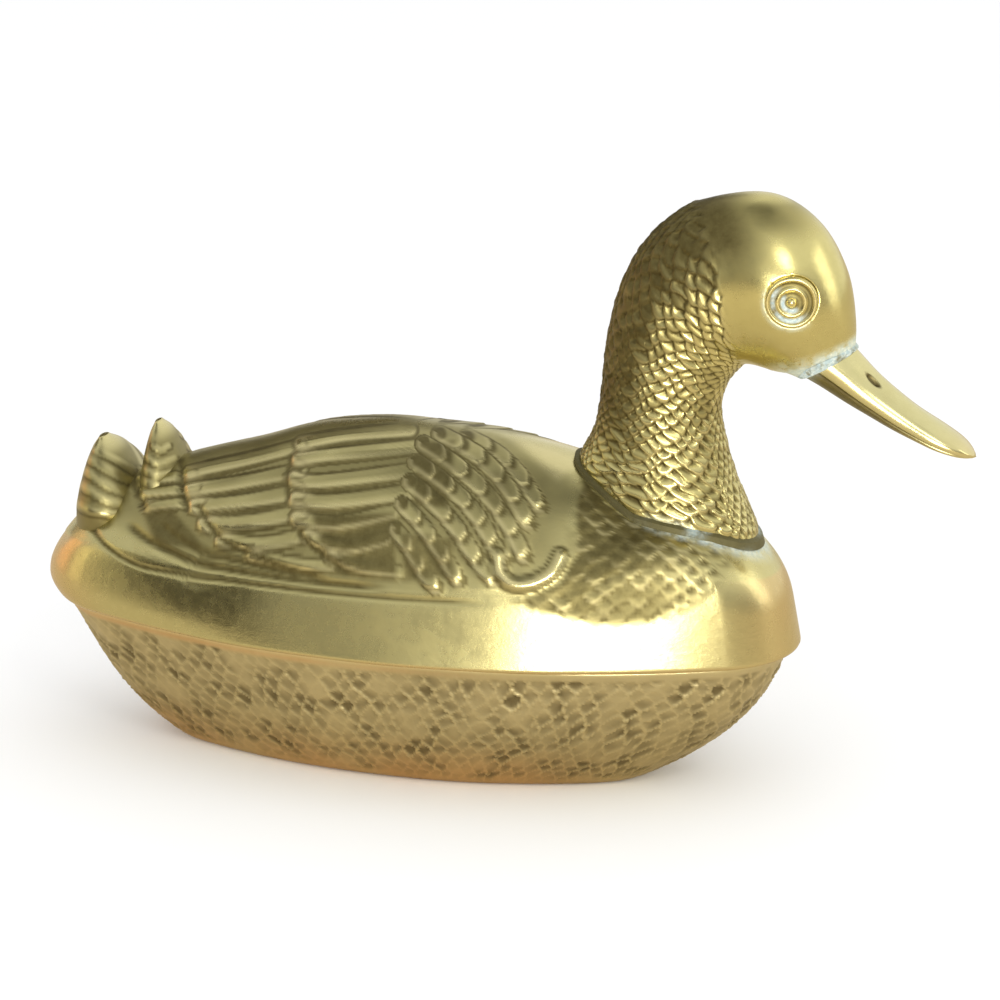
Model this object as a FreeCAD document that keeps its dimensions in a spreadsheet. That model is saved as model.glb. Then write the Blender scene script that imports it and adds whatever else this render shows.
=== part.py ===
import FreeCAD, Part
import math
import os
import Sketcher
from FreeCAD import Placement, Rotation, Vector

# A lidded duck box of cast brass: a bowl, a lift-off lid, and a hollow neck and head brazed on the lid.
# The origin is the centre of the bowl's flat foot, +X points to the bill, +Z up, all in millimetres.
# Heights are above the foot for the bowl, and above the seam between bowl and lid for all the rest.

doc = FreeCAD.newDocument("duck_box")
sheet = doc.addObject("Spreadsheet::Sheet", "Sizes")

# Driving dimensions
SIZES = [
    # casting
    ("wall", 2.4),
    ("overrun", 6.0),
    # bowl: four level outlines, each with its reach to the rear and to the front, and its half width
    ("rim_height", 30.3),
    ("rim_rear", 78.6),
    ("rim_fore", 79.6),
    ("rim_half_width", 32.6),
    ("rim_rear_arc", 20.0),
    ("rim_fore_arc", 19.2),
    ("rim_edge", 0.4),
    ("flank_height", 20.0),
    ("flank_rear", 72.4),
    ("flank_fore", 75.0),
    ("flank_half_width", 30.2),
    ("bilge_height", 8.8),
    ("bilge_rear", 64.0),
    ("bilge_fore", 64.6),
    ("bilge_half_width", 26.2),
    ("foot_rear", 53.0),
    ("foot_fore", 50.5),
    ("foot_half_width", 19.8),
    ("foot_edge", 1.2),
    # lid: how far its seam edge stands out past the bowl's rim, a leaning belt wall, a domed back and a
    # fuller chest, which stays inside the seam edge at the sides
    ("rear_overhang", 3.2),
    ("fore_overhang", 2.4),
    ("side_overhang", 1.6),
    ("seam_rear_arc", 21.6),
    ("seam_fore_arc", 20.0),
    ("seam_edge", 0.8),
    ("belt_height", 15.0),
    ("belt_lean", 3.6),
    ("end_belt_height", 11.0),
    ("end_lean", 2.0),
    ("back_height", 42.0),
    ("dome_drop", 10.0),
    ("chest_x", 46.0),
    ("chest_height", 32.0),
    ("chest_drop", 2.0),
    ("chest_reach", 39.0),
    ("chest_inset", 3.6),
    # lip cast under the lid, which drops into the bowl's mouth, and the land that rests on the rim
    ("lip_depth", 3.6),
    ("lip_thickness", 1.5),
    ("lip_clearance", 0.45),
    ("land_height", 4.0),
    ("vent_radius", 3.0),
    # folded wings and their coverts, raised on the dome's flanks
    ("wing_rise", 1.0),
    ("wing_x", -8.0),
    ("wing_level", 26.0),
    ("wing_rear", 43.0),
    ("wing_fore", 38.0),
    ("wing_half_height", 12.5),
    ("covert_rise", 1.9),
    ("covert_x", 16.0),
    ("covert_level", 25.5),
    ("covert_reach", 19.0),
    ("covert_half_height", 11.0),
    # upturned tail fan and the crossed wing tips in front of it
    ("fan_x", -67.0),
    ("fan_half_length", 8.0),
    ("fan_half_width", 17.0),
    ("fan_height", 33.0),
    ("tip_x", -54.6),
    ("tip_half_length", 5.0),
    ("tip_half_width", 14.0),
    ("tip_height", 37.4),
    # neck, from the middle of its root to the middle of the head
    ("neck_x", 51.4),
    ("neck_level", 31.3),
    ("neck_half_depth", 13.1),
    ("neck_half_width", 9.8),
    ("head_x", 75.3),
    ("head_level", 77.3),
    ("head_half_height", 17.9),
    ("head_half_width", 13.6),
    # bill, measured along its own sloping axis from the head's middle
    ("bill_reach", 52.2),
    ("bill_drop", 8.7),
    ("bill_half_width", 6.6),
    ("bill_half_thickness", 5.3),
    ("nostril_reach", 27.0),
    ("nostril_side", 2.9),
    ("nostril_half_length", 1.6),
    ("nostril_half_width", 0.7),
    # ringed eye studs let into the head
    ("eye_radius", 5.3),
    ("eye_forward", 6.0),
    ("eye_sunk", 0.7),
    ("eye_depth", 0.9),
    ("eye_ring", 0.5),
    ("eye_inner_ring", 0.42),
    ("eye_pupil", 1.0),
    # brazing beads
    ("neck_bead", 0.9),
    ("bill_bead", 0.8),
]

# Sizes that follow from the driving ones
DERIVED = [
    ("seam_rear", "=rim_rear + rear_overhang"),
    ("seam_fore", "=rim_fore + fore_overhang"),
    ("seam_half_width", "=rim_half_width + side_overhang"),
    ("chest_half_width", "=seam_half_width - chest_inset"),
]

# Angles in degrees, positive with the front down
BILL_TILT = 29.0
EYE_TURN = 14.0
HALF_TURN = 180.0

# Neck stations from the root up: place forward and place up, of the way to the head's middle, then
# the shares of the neck's half depth and half width, and the station's tilt
NECK_SHARES = (
    (0.140, -0.124, 1.570, 1.296, 20.0),
    (0.090, 0.000, 1.500, 1.224, 18.0),
    (0.065, 0.216, 1.135, 1.061, 15.5),
    (0.035, 0.450, 0.950, 1.000, 12.0),
    (0.095, 0.647, 1.010, 1.041, 19.0),
)
# Head stations, which fan from the nape over the skull and down to the bill's root: place forward and
# place up from the head's middle and half height, all as shares of the half height, then the share of
# the half width and the tilt
HEAD_SHARES = (
    (-0.965, -0.366, 0.870, 0.824, 41.0),
    (-0.580, -0.093, 1.020, 0.919, 58.0),
    (-0.244, 0.017, 1.033, 0.978, 75.0),
    (0.028, 0.017, 1.000, 1.000, 90.0),
    (0.294, -0.133, 0.883, 0.956, 103.0),
    (0.483, -0.383, 0.694, 0.831, 117.0),
    (0.583, -0.672, 0.483, 0.632, 134.0),
    (0.617, -0.872, 0.361, 0.440, 150.0),
)
# The head's inside stops before its last stations, which stay solid behind the bill
HEAD_INSIDE = HEAD_SHARES[:6]
# Bill stations: share of the reach, of the half width and of the half thickness, and how far the
# middle rises, as a share of the half thickness
BILL_SHARES = (
    (0.226, 1.100, 1.100, 0.300),
    (0.358, 1.000, 1.000, 0.220),
    (0.528, 0.860, 0.780, 0.000),
    (0.680, 0.820, 0.620, -0.080),
    (0.830, 0.840, 0.470, -0.040),
    (0.925, 0.700, 0.320, 0.040),
    (0.972, 0.480, 0.190, 0.070),
    (1.000, 0.200, 0.080, 0.080),
)
# Tail horns: shares of the height, half length and half width, and the lean to the rear, of the half length
TAIL_SHARES = (
    (0.24, 1.14, 1.00, 0.00),
    (0.62, 1.00, 0.84, 0.00),
    (0.82, 0.66, 0.58, 0.16),
    (0.94, 0.36, 0.32, 0.30),
    (1.00, 0.14, 0.12, 0.38),
)
# End arc of a rounded section, how far out the head's side is at the eye, and the inner eye ring's place,
# as shares of what carries them
ROUND_SHARE = 0.72
EYE_OUT_SHARE = 0.955
EYE_INNER_SHARE = 0.52

for row, (alias, size) in enumerate(SIZES + DERIVED, start=1):
    sheet.set(f"A{row}", alias)
    sheet.set(f"B{row}", str(size))
    sheet.setAlias(f"B{row}", alias)
doc.recompute()


def value(expression):
    return float(sheet.evalExpression(expression))


def origin_plane(body, role):
    return next(f for f in body.Origin.OriginFeatures if f.Role == role)


def end_arc(reach, half_width, arc):
    """Radius of the side arc that is tangent to an end arc, and the angle where they meet."""
    side = ((reach - arc) ** 2 + half_width**2 - arc**2) / (2 * (half_width - arc))
    return side, math.atan2(side - half_width, reach - arc)


def arc_of(x, y, radius, start, end):
    return Part.ArcOfCircle(Part.Circle(Vector(x, y, 0), Vector(0, 0, 1), radius), start, end)


def outline(body, name, sizes, place, role="XY_Plane", axis=Vector(0, 1, 0), tilt="0"):
    """An egg of six tangent arcs. sizes are its reach to the rear and to the front, half width, rear
    arc and front arc, all expressions. It lies on an origin plane, moved by place and turned about axis."""
    sketch = body.newObject("Sketcher::SketchObject", name)
    sketch.AttachmentSupport = [(origin_plane(body, role), "")]
    sketch.MapMode = "FlatFace"
    sketch.AttachmentOffset = Placement(Vector(), Rotation(axis, 0))
    rear, fore, half, rear_arc, fore_arc = sizes
    rear_mm, fore_mm, half_mm, rear_arc_mm, fore_arc_mm = (value(size) for size in sizes)
    rear_side, rear_angle = end_arc(rear_mm, half_mm, rear_arc_mm)
    fore_side, fore_angle = end_arc(fore_mm, half_mm, fore_arc_mm)
    quarter = math.pi / 2
    arcs = [
        arc_of(fore_mm - fore_arc_mm, 0, fore_arc_mm, -fore_angle, fore_angle),
        arc_of(0, half_mm - fore_side, fore_side, fore_angle, quarter),
        arc_of(0, half_mm - rear_side, rear_side, quarter, math.pi - rear_angle),
        arc_of(rear_arc_mm - rear_mm, 0, rear_arc_mm, math.pi - rear_angle, math.pi + rear_angle),
        arc_of(0, rear_side - half_mm, rear_side, math.pi + rear_angle, 3 * quarter),
        arc_of(0, fore_side - half_mm, fore_side, 3 * quarter, 4 * quarter - fore_angle),
    ]
    sketch.addGeometry(arcs, False)
    fore_end, left_fore, left_rear, rear_end, right_rear, right_fore = range(len(arcs))
    start, end, centre, x_axis, y_axis = 1, 2, 3, -1, -2
    rule = Sketcher.Constraint
    joins = [(fore_end, left_fore), (left_rear, rear_end), (rear_end, right_rear), (right_fore, fore_end)]
    rules = [rule("Tangent", a, end, b, start) for a, b in joins]
    rules += [rule("Coincident", a, end, b, start) for a, b in [(left_fore, left_rear), (right_rear, right_fore)]]
    rules += [rule("PointOnObject", arc, centre, x_axis) for arc in (fore_end, rear_end)]
    sides = (left_fore, left_rear, right_rear, right_fore)
    rules += [rule("PointOnObject", arc, centre, y_axis) for arc in sides]
    rules += [rule("PointOnObject", arc, end, y_axis) for arc in (left_fore, right_rear)]
    sketch.addConstraint(rules)
    reach_fore = rule("DistanceX", x_axis, start, fore_end, centre, fore_mm - fore_arc_mm)
    reach_rear = rule("DistanceX", rear_end, centre, x_axis, start, rear_mm - rear_arc_mm)
    sized = {
        "left_half": (rule("DistanceY", x_axis, start, left_fore, end, half_mm), half),
        "right_half": (rule("DistanceY", right_rear, end, x_axis, start, half_mm), half),
        "fore_arc": (rule("Radius", fore_end, fore_arc_mm), fore_arc),
        "rear_arc": (rule("Radius", rear_end, rear_arc_mm), rear_arc),
        "fore_centre": (reach_fore, f"({fore}) - ({fore_arc})"),
        "rear_centre": (reach_rear, f"({rear}) - ({rear_arc})"),
    }
    for label, (constraint, expression) in sized.items():
        index = sketch.addConstraint(constraint)
        sketch.renameConstraint(index, label)
        sketch.setExpression(f"Constraints.{label}", expression)
    for direction, expression in place.items():
        sketch.setExpression(f"AttachmentOffset.Base.{direction}", expression)
    sketch.setExpression("AttachmentOffset.Rotation.Angle", tilt)
    return sketch


def rounded(half_long, half_wide):
    """The sizes of an outline that is alike at both ends."""
    arc = f"({half_wide}) * {ROUND_SHARE}"
    return half_long, half_long, half_wide, arc, arc


def shrunk(sizes, inset):
    """The sizes of the outline that runs inside another one at a constant distance."""
    return tuple(f"({size}) - ({inset})" for size in sizes)


def new_body(name):
    return doc.addObject("PartDesign::Body", name)


def loft(body, name, sketches, kind="PartDesign::AdditiveLoft"):
    """A loft run from the last outline to the first, which turns its faces outwards."""
    feature = body.newObject(kind, name)
    feature.Profile = sketches[-1]
    feature.Sections = [(sketch, [""]) for sketch in reversed(sketches[:-1])]
    doc.recompute()
    return feature


def round_edges(body, base, name, level, radius):
    """Rounds all of a body's edges that lie flat at one height."""
    feature = body.newObject("PartDesign::Fillet", name)
    flat = []
    for number, edge in enumerate(base.Shape.Edges, start=1):
        box = edge.BoundBox
        if max(abs(box.ZMin - level), abs(box.ZMax - level)) < value(radius) / 10:
            flat.append(f"Edge{number}")
    feature.Base = (base, flat)
    feature.setExpression("Radius", radius)
    doc.recompute()
    return feature


def bound(kind, name, turn=None, **expressions):
    """A Part primitive whose properties follow the sheet; a double underscore in a name stands for a dot."""
    thing = doc.addObject(kind, name)
    if turn:
        thing.Placement = Placement(Vector(), turn)
    for prop, expression in expressions.items():
        thing.setExpression(prop.replace("__", "."), expression)
    return thing


def combined(kind, name, **links):
    """A boolean of whole shapes, whose faces are left as they are cut."""
    feature = doc.addObject(kind, name)
    for prop, shapes in links.items():
        setattr(feature, prop, shapes)
    feature.Refine = False
    doc.recompute()
    return feature


def cut(name, base, *tools):
    tool = tools[0] if len(tools) == 1 else fused(f"{name}_tools", *tools)
    return combined("Part::Cut", name, Base=base, Tool=tool)


def common(name, *shapes):
    return combined("Part::MultiCommon", name, Shapes=list(shapes))


def fused(name, *shapes):
    return combined("Part::MultiFuse", name, Shapes=list(shapes))


# Bowl

def bowl_sizes(level):
    """Outline sizes at one of the bowl's levels, its end arcs in the rim's proportion."""
    half = f"Sizes.{level}_half_width"
    rear_arc = f"{half} * Sizes.rim_rear_arc / Sizes.rim_half_width"
    fore_arc = f"{half} * Sizes.rim_fore_arc / Sizes.rim_half_width"
    return f"Sizes.{level}_rear", f"Sizes.{level}_fore", half, rear_arc, fore_arc


def build_bowl():
    body = new_body("bowl")
    levels = {"foot": "0", "bilge": "Sizes.bilge_height", "flank": "Sizes.flank_height", "rim": "Sizes.rim_height"}
    outer = [outline(body, f"outer_{name}", bowl_sizes(name), {"z": z}) for name, z in levels.items()]
    hull = loft(body, "hull", outer)
    hull = round_edges(body, hull, "foot_rounding", 0, "Sizes.foot_edge")
    round_edges(body, hull, "rim_rounding", value("Sizes.rim_height"), "Sizes.rim_edge")
    levels["foot"] = "Sizes.wall"
    inner = [
        outline(body, f"inner_{name}", shrunk(bowl_sizes(name), "Sizes.wall"), {"z": z})
        for name, z in levels.items()
    ]
    loft(body, "hollow", inner, "PartDesign::SubtractiveLoft")
    return body


# Lid

def above_seam(height):
    return f"Sizes.rim_height + ({height})"


def dome(name, grown="0"):
    """The back's ellipsoid through the top of the belt, grown by an expression."""
    rise = "(Sizes.back_height + Sizes.dome_drop)"
    side = f"sqrt(1 - pow((Sizes.belt_height + Sizes.dome_drop) / {rise}; 2))"
    end = f"sqrt(1 - pow((Sizes.end_belt_height + Sizes.dome_drop) / {rise}; 2))"
    half_length = "((Sizes.seam_rear + Sizes.seam_fore) / 2 - Sizes.end_lean)"
    shape = bound(
        "Part::Ellipsoid", name,
        Radius1=f"{rise} + ({grown})",
        Radius2=f"{half_length} / {end} + ({grown})",
        Radius3=f"(Sizes.seam_half_width - Sizes.belt_lean) / {side} + ({grown})",
        Placement__Base__x="(Sizes.seam_fore - Sizes.seam_rear) / 2",
        Placement__Base__z=above_seam("-Sizes.dome_drop"),
    )
    return shape


def chest(name, grown="0"):
    """The fuller breast under the neck's root, its seam line turned to the rear, inside the dome."""
    shape = bound(
        "Part::Ellipsoid", name, turn=Rotation(Vector(0, 0, 1), HALF_TURN),
        Radius1=f"Sizes.chest_height + Sizes.chest_drop + ({grown})",
        Radius2=f"Sizes.chest_reach + ({grown})",
        Radius3=f"Sizes.chest_half_width + ({grown})",
        Placement__Base__x="Sizes.chest_x",
        Placement__Base__z=above_seam("-Sizes.chest_drop"),
    )
    return shape


def belt_walls(name, inset, start):
    """The lid's leaning wall, from a start height up past the dome."""
    body = new_body(name)
    sketches = []
    for label, height in (("low", start), ("middle", "Sizes.belt_height"), ("high", "Sizes.back_height")):
        end_lean = f"Sizes.end_lean * ({height}) / Sizes.end_belt_height"
        half = f"(Sizes.seam_half_width - Sizes.belt_lean * ({height}) / Sizes.belt_height)"
        sizes = (
            f"Sizes.seam_rear - {end_lean}",
            f"Sizes.seam_fore - {end_lean}",
            half,
            f"{half} * Sizes.seam_rear_arc / Sizes.seam_half_width",
            f"{half} * Sizes.seam_fore_arc / Sizes.seam_half_width",
        )
        sketches.append(outline(body, f"{name}_{label}", shrunk(sizes, inset), {"z": above_seam(height)}))
    walls = loft(body, f"{name}_loft", sketches)
    if start == "0":
        round_edges(body, walls, "seam_rounding", value("Sizes.rim_height"), "Sizes.seam_edge")
    return body


def lip(name, inset, below, above):
    """A ring's outline that follows the bowl's wall, inset from it, from below the seam to above it."""
    body = new_body(name)
    share = "Sizes.lip_depth / (Sizes.rim_height - Sizes.flank_height)"
    rim = bowl_sizes("rim")
    sunk = tuple(
        f"({high}) - (({high}) - ({low})) * {share}" for high, low in zip(rim, bowl_sizes("flank"))
    )
    stations = [("deep", sunk, f"-Sizes.lip_depth - {below}"), ("seam", rim, "0"), ("high", rim, above)]
    sketches = [
        outline(body, f"{name}_{label}", shrunk(sizes, inset), {"z": above_seam(height)})
        for label, sizes, height in stations
    ]
    feature = loft(body, f"{name}_loft", sketches)
    feature.Ruled = True
    doc.recompute()
    return body


def side_prism(name, x, level, rear, fore, half_height):
    """An egg-shaped side view, run right across the duck."""
    body = new_body(name)
    arc = f"({half_height}) * {ROUND_SHARE}"
    place = {"x": x, "y": above_seam(level)}
    sketch = outline(body, f"{name}_outline", (rear, fore, half_height, arc, arc), place, role="XZ_Plane")
    pad = body.newObject("PartDesign::Pad", f"{name}_pad")
    pad.Profile = sketch
    pad.Midplane = True
    pad.setExpression("Length", "2 * (Sizes.seam_half_width + Sizes.overrun)")
    doc.recompute()
    return body


def tail_horn(name, group):
    """A group of upturned feathers, lofted to a leaning tip."""
    body = new_body(name)
    sketches = []
    for number, (up, long, wide, lean) in enumerate(TAIL_SHARES):
        sizes = rounded(f"Sizes.{group}_half_width * {wide}", f"Sizes.{group}_half_length * {long}")
        place = {
            "x": f"Sizes.{group}_x - Sizes.{group}_half_length * {lean}",
            "z": above_seam(f"Sizes.{group}_height * {up}"),
        }
        sketches.append(outline(body, f"{name}_{number}", sizes, place, axis=Vector(0, 0, 1), tilt="90"))
    loft(body, f"{name}_loft", sketches)
    return body


def raised_feathers(name, group, walls):
    """A feather field on both flanks, a little proud of the dome and inside the belt wall."""
    reach = ("rear", "fore") if group == "wing" else ("reach", "reach")
    rear, fore = (f"Sizes.{group}_{end}" for end in reach)
    prism = side_prism(f"{name}_prism", f"Sizes.{group}_x", f"Sizes.{group}_level", rear, fore,
                       f"Sizes.{group}_half_height")
    return common(name, walls, prism, dome(f"{name}_dome", f"Sizes.{group}_rise"))


def build_lid_outside():
    """The lid's closed outer form, without its lip."""
    walls = belt_walls("belt", "0", "0")
    swell = fused("back_and_chest", dome("back"), chest("breast"))
    shell = common("plain_lid", walls, swell)
    feathers = [raised_feathers("wings", "wing", walls), raised_feathers("coverts", "covert", walls)]
    horns = [tail_horn("tail_fan", "fan"), tail_horn("wing_tips", "tip")]
    return fused("lid_outside", shell, *feathers, *horns)


def build_lid_shell(outside):
    to_lip = "Sizes.wall + Sizes.lip_clearance"
    lip_outside = lip("lip_outside", to_lip, "0", "Sizes.land_height / 2")
    lip_inside = lip("lip_inside", f"{to_lip} + Sizes.lip_thickness", "Sizes.overrun", "Sizes.land_height")
    inner_walls = belt_walls("inner_belt", "Sizes.wall", "Sizes.land_height")
    inner_swell = fused("inner_swell", dome("inner_back", "-Sizes.wall"), chest("inner_breast", "-Sizes.wall"))
    hollow = common("lid_hollow", inner_walls, inner_swell)
    vent = bound(
        "Part::Cylinder", "vent",
        Radius="Sizes.vent_radius",
        Height="2 * Sizes.overrun",
        Placement__Base__x="Sizes.neck_x",
        Placement__Base__z=above_seam("Sizes.chest_height - Sizes.overrun"),
    )
    return cut("lid_shell", fused("lid_solid", outside, lip_outside), hollow, lip_inside, vent)


# Neck and head

def neck_outline(body, name, half_depth, half_width, place, grown, tilt):
    sizes = shrunk(rounded(half_depth, half_width), f"-({grown})")
    return outline(body, name, sizes, place, tilt=str(tilt))


def neck_outlines(body, stations, grown):
    """Outlines up the neck, level ones that tip forward more and more."""
    sketches = []
    for number, (along, up, depth, width, tilt) in enumerate(stations):
        place = {
            "x": f"Sizes.neck_x + (Sizes.head_x - Sizes.neck_x) * ({along})",
            "z": above_seam(f"Sizes.neck_level + (Sizes.head_level - Sizes.neck_level) * ({up})"),
        }
        sketches.append(neck_outline(body, f"{body.Name}_neck_{number}", f"Sizes.neck_half_depth * {depth}",
                                     f"Sizes.neck_half_width * {width}", place, grown, tilt))
    return sketches


def head_outlines(body, stations, grown):
    """Outlines that fan over the skull and end where the bill is seated."""
    sketches = []
    for number, (along, up, height, width, tilt) in enumerate(stations):
        place = {
            "x": f"Sizes.head_x + Sizes.head_half_height * ({along})",
            "z": above_seam(f"Sizes.head_level + Sizes.head_half_height * ({up})"),
        }
        sketches.append(neck_outline(body, f"{body.Name}_head_{number}", f"Sizes.head_half_height * {height}",
                                     f"Sizes.head_half_width * {width}", place, grown, tilt))
    return sketches


def neck_loft(name, grown="0", neck_stations=NECK_SHARES, head_stations=HEAD_SHARES):
    """The filled-in form of the neck, the head or both, grown by an expression."""
    body = new_body(name)
    sketches = neck_outlines(body, neck_stations, grown) + head_outlines(body, head_stations, grown)
    loft(body, f"{name}_loft", sketches)
    return body


def place_on_eye(thing, side):
    """Seats a shape's origin at the middle of an eye's face; side is -1 on the duck's right, +1 on its left."""
    out = f"(Sizes.head_half_width * {EYE_OUT_SHARE} - Sizes.eye_sunk)"
    turn = Rotation(Vector(0, 0, 1), -side * EYE_TURN) * Rotation(Vector(1, 0, 0), -side * 90)
    thing.Placement = Placement(Vector(), turn)
    thing.setExpression("Placement.Base.x", "Sizes.head_x + Sizes.eye_forward")
    thing.setExpression("Placement.Base.y", f"{side} * {out}")
    thing.setExpression("Placement.Base.z", above_seam("Sizes.head_level"))
    doc.recompute()
    return thing


def build_eye(name, side):
    """A stud with two raised rings and a raised pupil on its face."""
    stud = bound(
        "Part::Cylinder", f"{name}_stud", Radius="Sizes.eye_radius", Height="Sizes.eye_depth",
        Placement__Base__z="-Sizes.eye_depth",
    )
    ring = bound("Part::Torus", f"{name}_ring", Radius1="Sizes.eye_radius - 1.1 * Sizes.eye_ring",
                 Radius2="Sizes.eye_ring")
    inner = bound("Part::Torus", f"{name}_inner_ring", Radius1=f"Sizes.eye_radius * {EYE_INNER_SHARE}",
                  Radius2="Sizes.eye_inner_ring")
    pupil = bound("Part::Sphere", f"{name}_pupil", Radius="Sizes.eye_pupil")
    return place_on_eye(fused(name, stud, ring, inner, pupil), side)


def eye_socket(name, side):
    """A flat-bottomed round recess for an eye, open outwards."""
    drill = bound("Part::Cylinder", f"{name}_drill", Radius="Sizes.eye_radius",
                  Height="Sizes.eye_depth + Sizes.overrun", Placement__Base__z="-Sizes.eye_depth")
    seat = doc.addObject("Part::Compound", name)
    seat.Links = [drill]
    return place_on_eye(seat, side)


def build_neck_and_head(solid, outside):
    """The hollow casting, open at the root, with a socket for each eye."""
    hollow = neck_loft("neck_hollow", "-Sizes.wall", head_stations=HEAD_INSIDE)
    trimmed = cut("neck_on_lid", solid, outside)
    return cut("neck_and_head", trimmed, hollow, eye_socket("right_socket", -1), eye_socket("left_socket", 1))


# Bill

def along_bill(reach, rise):
    """Forward place and height of a point on the bill, by its reach and its rise from the bill's axis."""
    x = f"Sizes.head_x + ({reach}) * cos({BILL_TILT}) + ({rise}) * sin({BILL_TILT})"
    z = f"Sizes.head_level - ({reach}) * sin({BILL_TILT}) + ({rise}) * cos({BILL_TILT})"
    return x, above_seam(z)


def bill(name, grown="0", stations=BILL_SHARES):
    body = new_body(name)
    sketches = []
    for number, (reach, wide, thick, rise) in enumerate(stations):
        sizes = rounded(f"Sizes.bill_half_width * {wide}", f"Sizes.bill_half_thickness * {thick}")
        x, z = along_bill(f"Sizes.bill_reach * {reach}", f"Sizes.bill_half_thickness * ({rise}) - Sizes.bill_drop")
        sketches.append(
            outline(body, f"{name}_{number}", shrunk(sizes, f"-({grown})"), {"y": z, "z": x},
                    role="YZ_Plane", axis=Vector(1, 0, 0), tilt=str(BILL_TILT))
        )
    loft(body, f"{name}_loft", sketches)
    return body


def nostril(name, side):
    near, far = BILL_SHARES[2], BILL_SHARES[3]
    thick = (near[2] + far[2]) / 2
    x, z = along_bill("Sizes.nostril_reach", f"Sizes.bill_half_thickness * {thick} - Sizes.bill_drop")
    return bound(
        "Part::Ellipsoid", name, turn=Rotation(Vector(0, 1, 0), BILL_TILT),
        Radius1="Sizes.nostril_half_width",
        Radius2="Sizes.nostril_half_length",
        Radius3="Sizes.nostril_half_width",
        Placement__Base__x=x,
        Placement__Base__y=f"{side} * Sizes.nostril_side",
        Placement__Base__z=z,
    )


# Assembly

def build():
    bowl = build_bowl()
    outside = build_lid_outside()
    lid = build_lid_shell(outside)
    head_solid = neck_loft("neck_and_head_solid")
    neck_and_head = build_neck_and_head(head_solid, outside)
    bill_solid = bill("bill_solid")
    trimmed_bill = cut("trimmed_bill", bill_solid, head_solid)
    beak = cut("bill", trimmed_bill, nostril("right_nostril", -1), nostril("left_nostril", 1))
    eyes = [build_eye("right_eye", -1), build_eye("left_eye", 1)]
    grown_lid = fused("lid_and_bead", dome("back_bead", "Sizes.neck_bead"), chest("breast_bead", "Sizes.neck_bead"))
    grown_root = neck_loft("neck_and_bead", "Sizes.neck_bead", NECK_SHARES[:3], ())
    neck_solder = cut("neck_solder", common("neck_bead", grown_root, grown_lid), head_solid, outside)
    grown_face = neck_loft("face_and_bead", "Sizes.bill_bead", (), HEAD_SHARES[4:])
    grown_bill = bill("bill_and_bead", "Sizes.bill_bead", BILL_SHARES[:4])
    bill_solder = cut("bill_solder", common("bill_bead", grown_bill, grown_face), head_solid, bill_solid)
    return [bowl, lid, neck_and_head, beak, *eyes, neck_solder, bill_solder]


parts = build()
doc.recompute()
failed = [thing.Name for thing in doc.Objects if {"Invalid", "Error"} & set(thing.State)]
if failed:
    raise RuntimeError(f"failed: {failed}")
for part in parts:
    shape = part.Shape
    if shape.isNull() or not shape.isValid():
        raise RuntimeError(f"bad shape: {part.Label}")
    box = shape.optimalBoundingBox()
    print(f"{part.Label}: {len(shape.Solids)} solid, {shape.Volume:.0f} mm3,"
          f" x {box.XMin:.1f} to {box.XMax:.1f}, y {box.YMin:.1f} to {box.YMax:.1f},"
          f" z {box.ZMin:.1f} to {box.ZMax:.1f}")
os.makedirs("parts", exist_ok=True)
for part in parts:
    part.Shape.exportStep(f"parts/{part.Label}.step")
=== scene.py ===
import math

import bpy
import numpy as np
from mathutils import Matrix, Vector


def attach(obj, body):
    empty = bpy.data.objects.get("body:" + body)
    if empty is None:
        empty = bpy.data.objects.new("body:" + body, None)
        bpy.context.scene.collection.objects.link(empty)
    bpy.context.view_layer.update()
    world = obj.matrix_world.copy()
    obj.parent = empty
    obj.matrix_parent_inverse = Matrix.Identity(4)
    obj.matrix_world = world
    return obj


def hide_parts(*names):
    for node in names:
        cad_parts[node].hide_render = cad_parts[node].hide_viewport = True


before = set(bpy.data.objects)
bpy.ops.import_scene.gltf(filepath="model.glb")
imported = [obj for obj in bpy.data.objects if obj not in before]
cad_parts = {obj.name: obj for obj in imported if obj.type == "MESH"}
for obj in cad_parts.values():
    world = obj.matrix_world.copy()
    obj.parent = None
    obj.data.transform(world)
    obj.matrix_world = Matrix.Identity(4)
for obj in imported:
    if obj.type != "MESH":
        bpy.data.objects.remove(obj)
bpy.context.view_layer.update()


# ---------------------------------------------------------------- bowl
# The lower half of the box: one thin brass casting like a boat's hull, with a flat foot. Its outside is
# chased all over with a net of small pointed scales below a plain strip under the rim. Brown patina
# sits in the cells and the raised lines are rubbed bright. The rim's bright, warm line is partly rubbed
# brass and partly a painted highlight, and the low hull is painted warm as a painted reflection of the table.

# Places are in millimetres on the duck: x to the bill, y to its left, z up from the table.
MM = 0.001
SEAM_Z = 30.3
BOWL_WALL = 2.4
BELLY_Z = 24.0
FOOT_ROUND, RIM_ROUND = 1.2, 0.4
SCALES_A_SIDE, SCALE_LENGTH = 49.5, 2.75
BOWL_LEVELS = np.array([    # height, reach to the rear, reach to the front, half width
    (0.0, 53.0, 50.5, 19.8),
    (8.8, 64.0, 64.6, 26.2),
    (20.0, 72.4, 75.0, 30.2),
    (SEAM_Z, 78.6, 79.6, 32.6),
])
BOWL_ARCS = 20.0 / 32.6, 19.2 / 32.6    # radius at the rear and at the front, as shares of the half width


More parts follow.
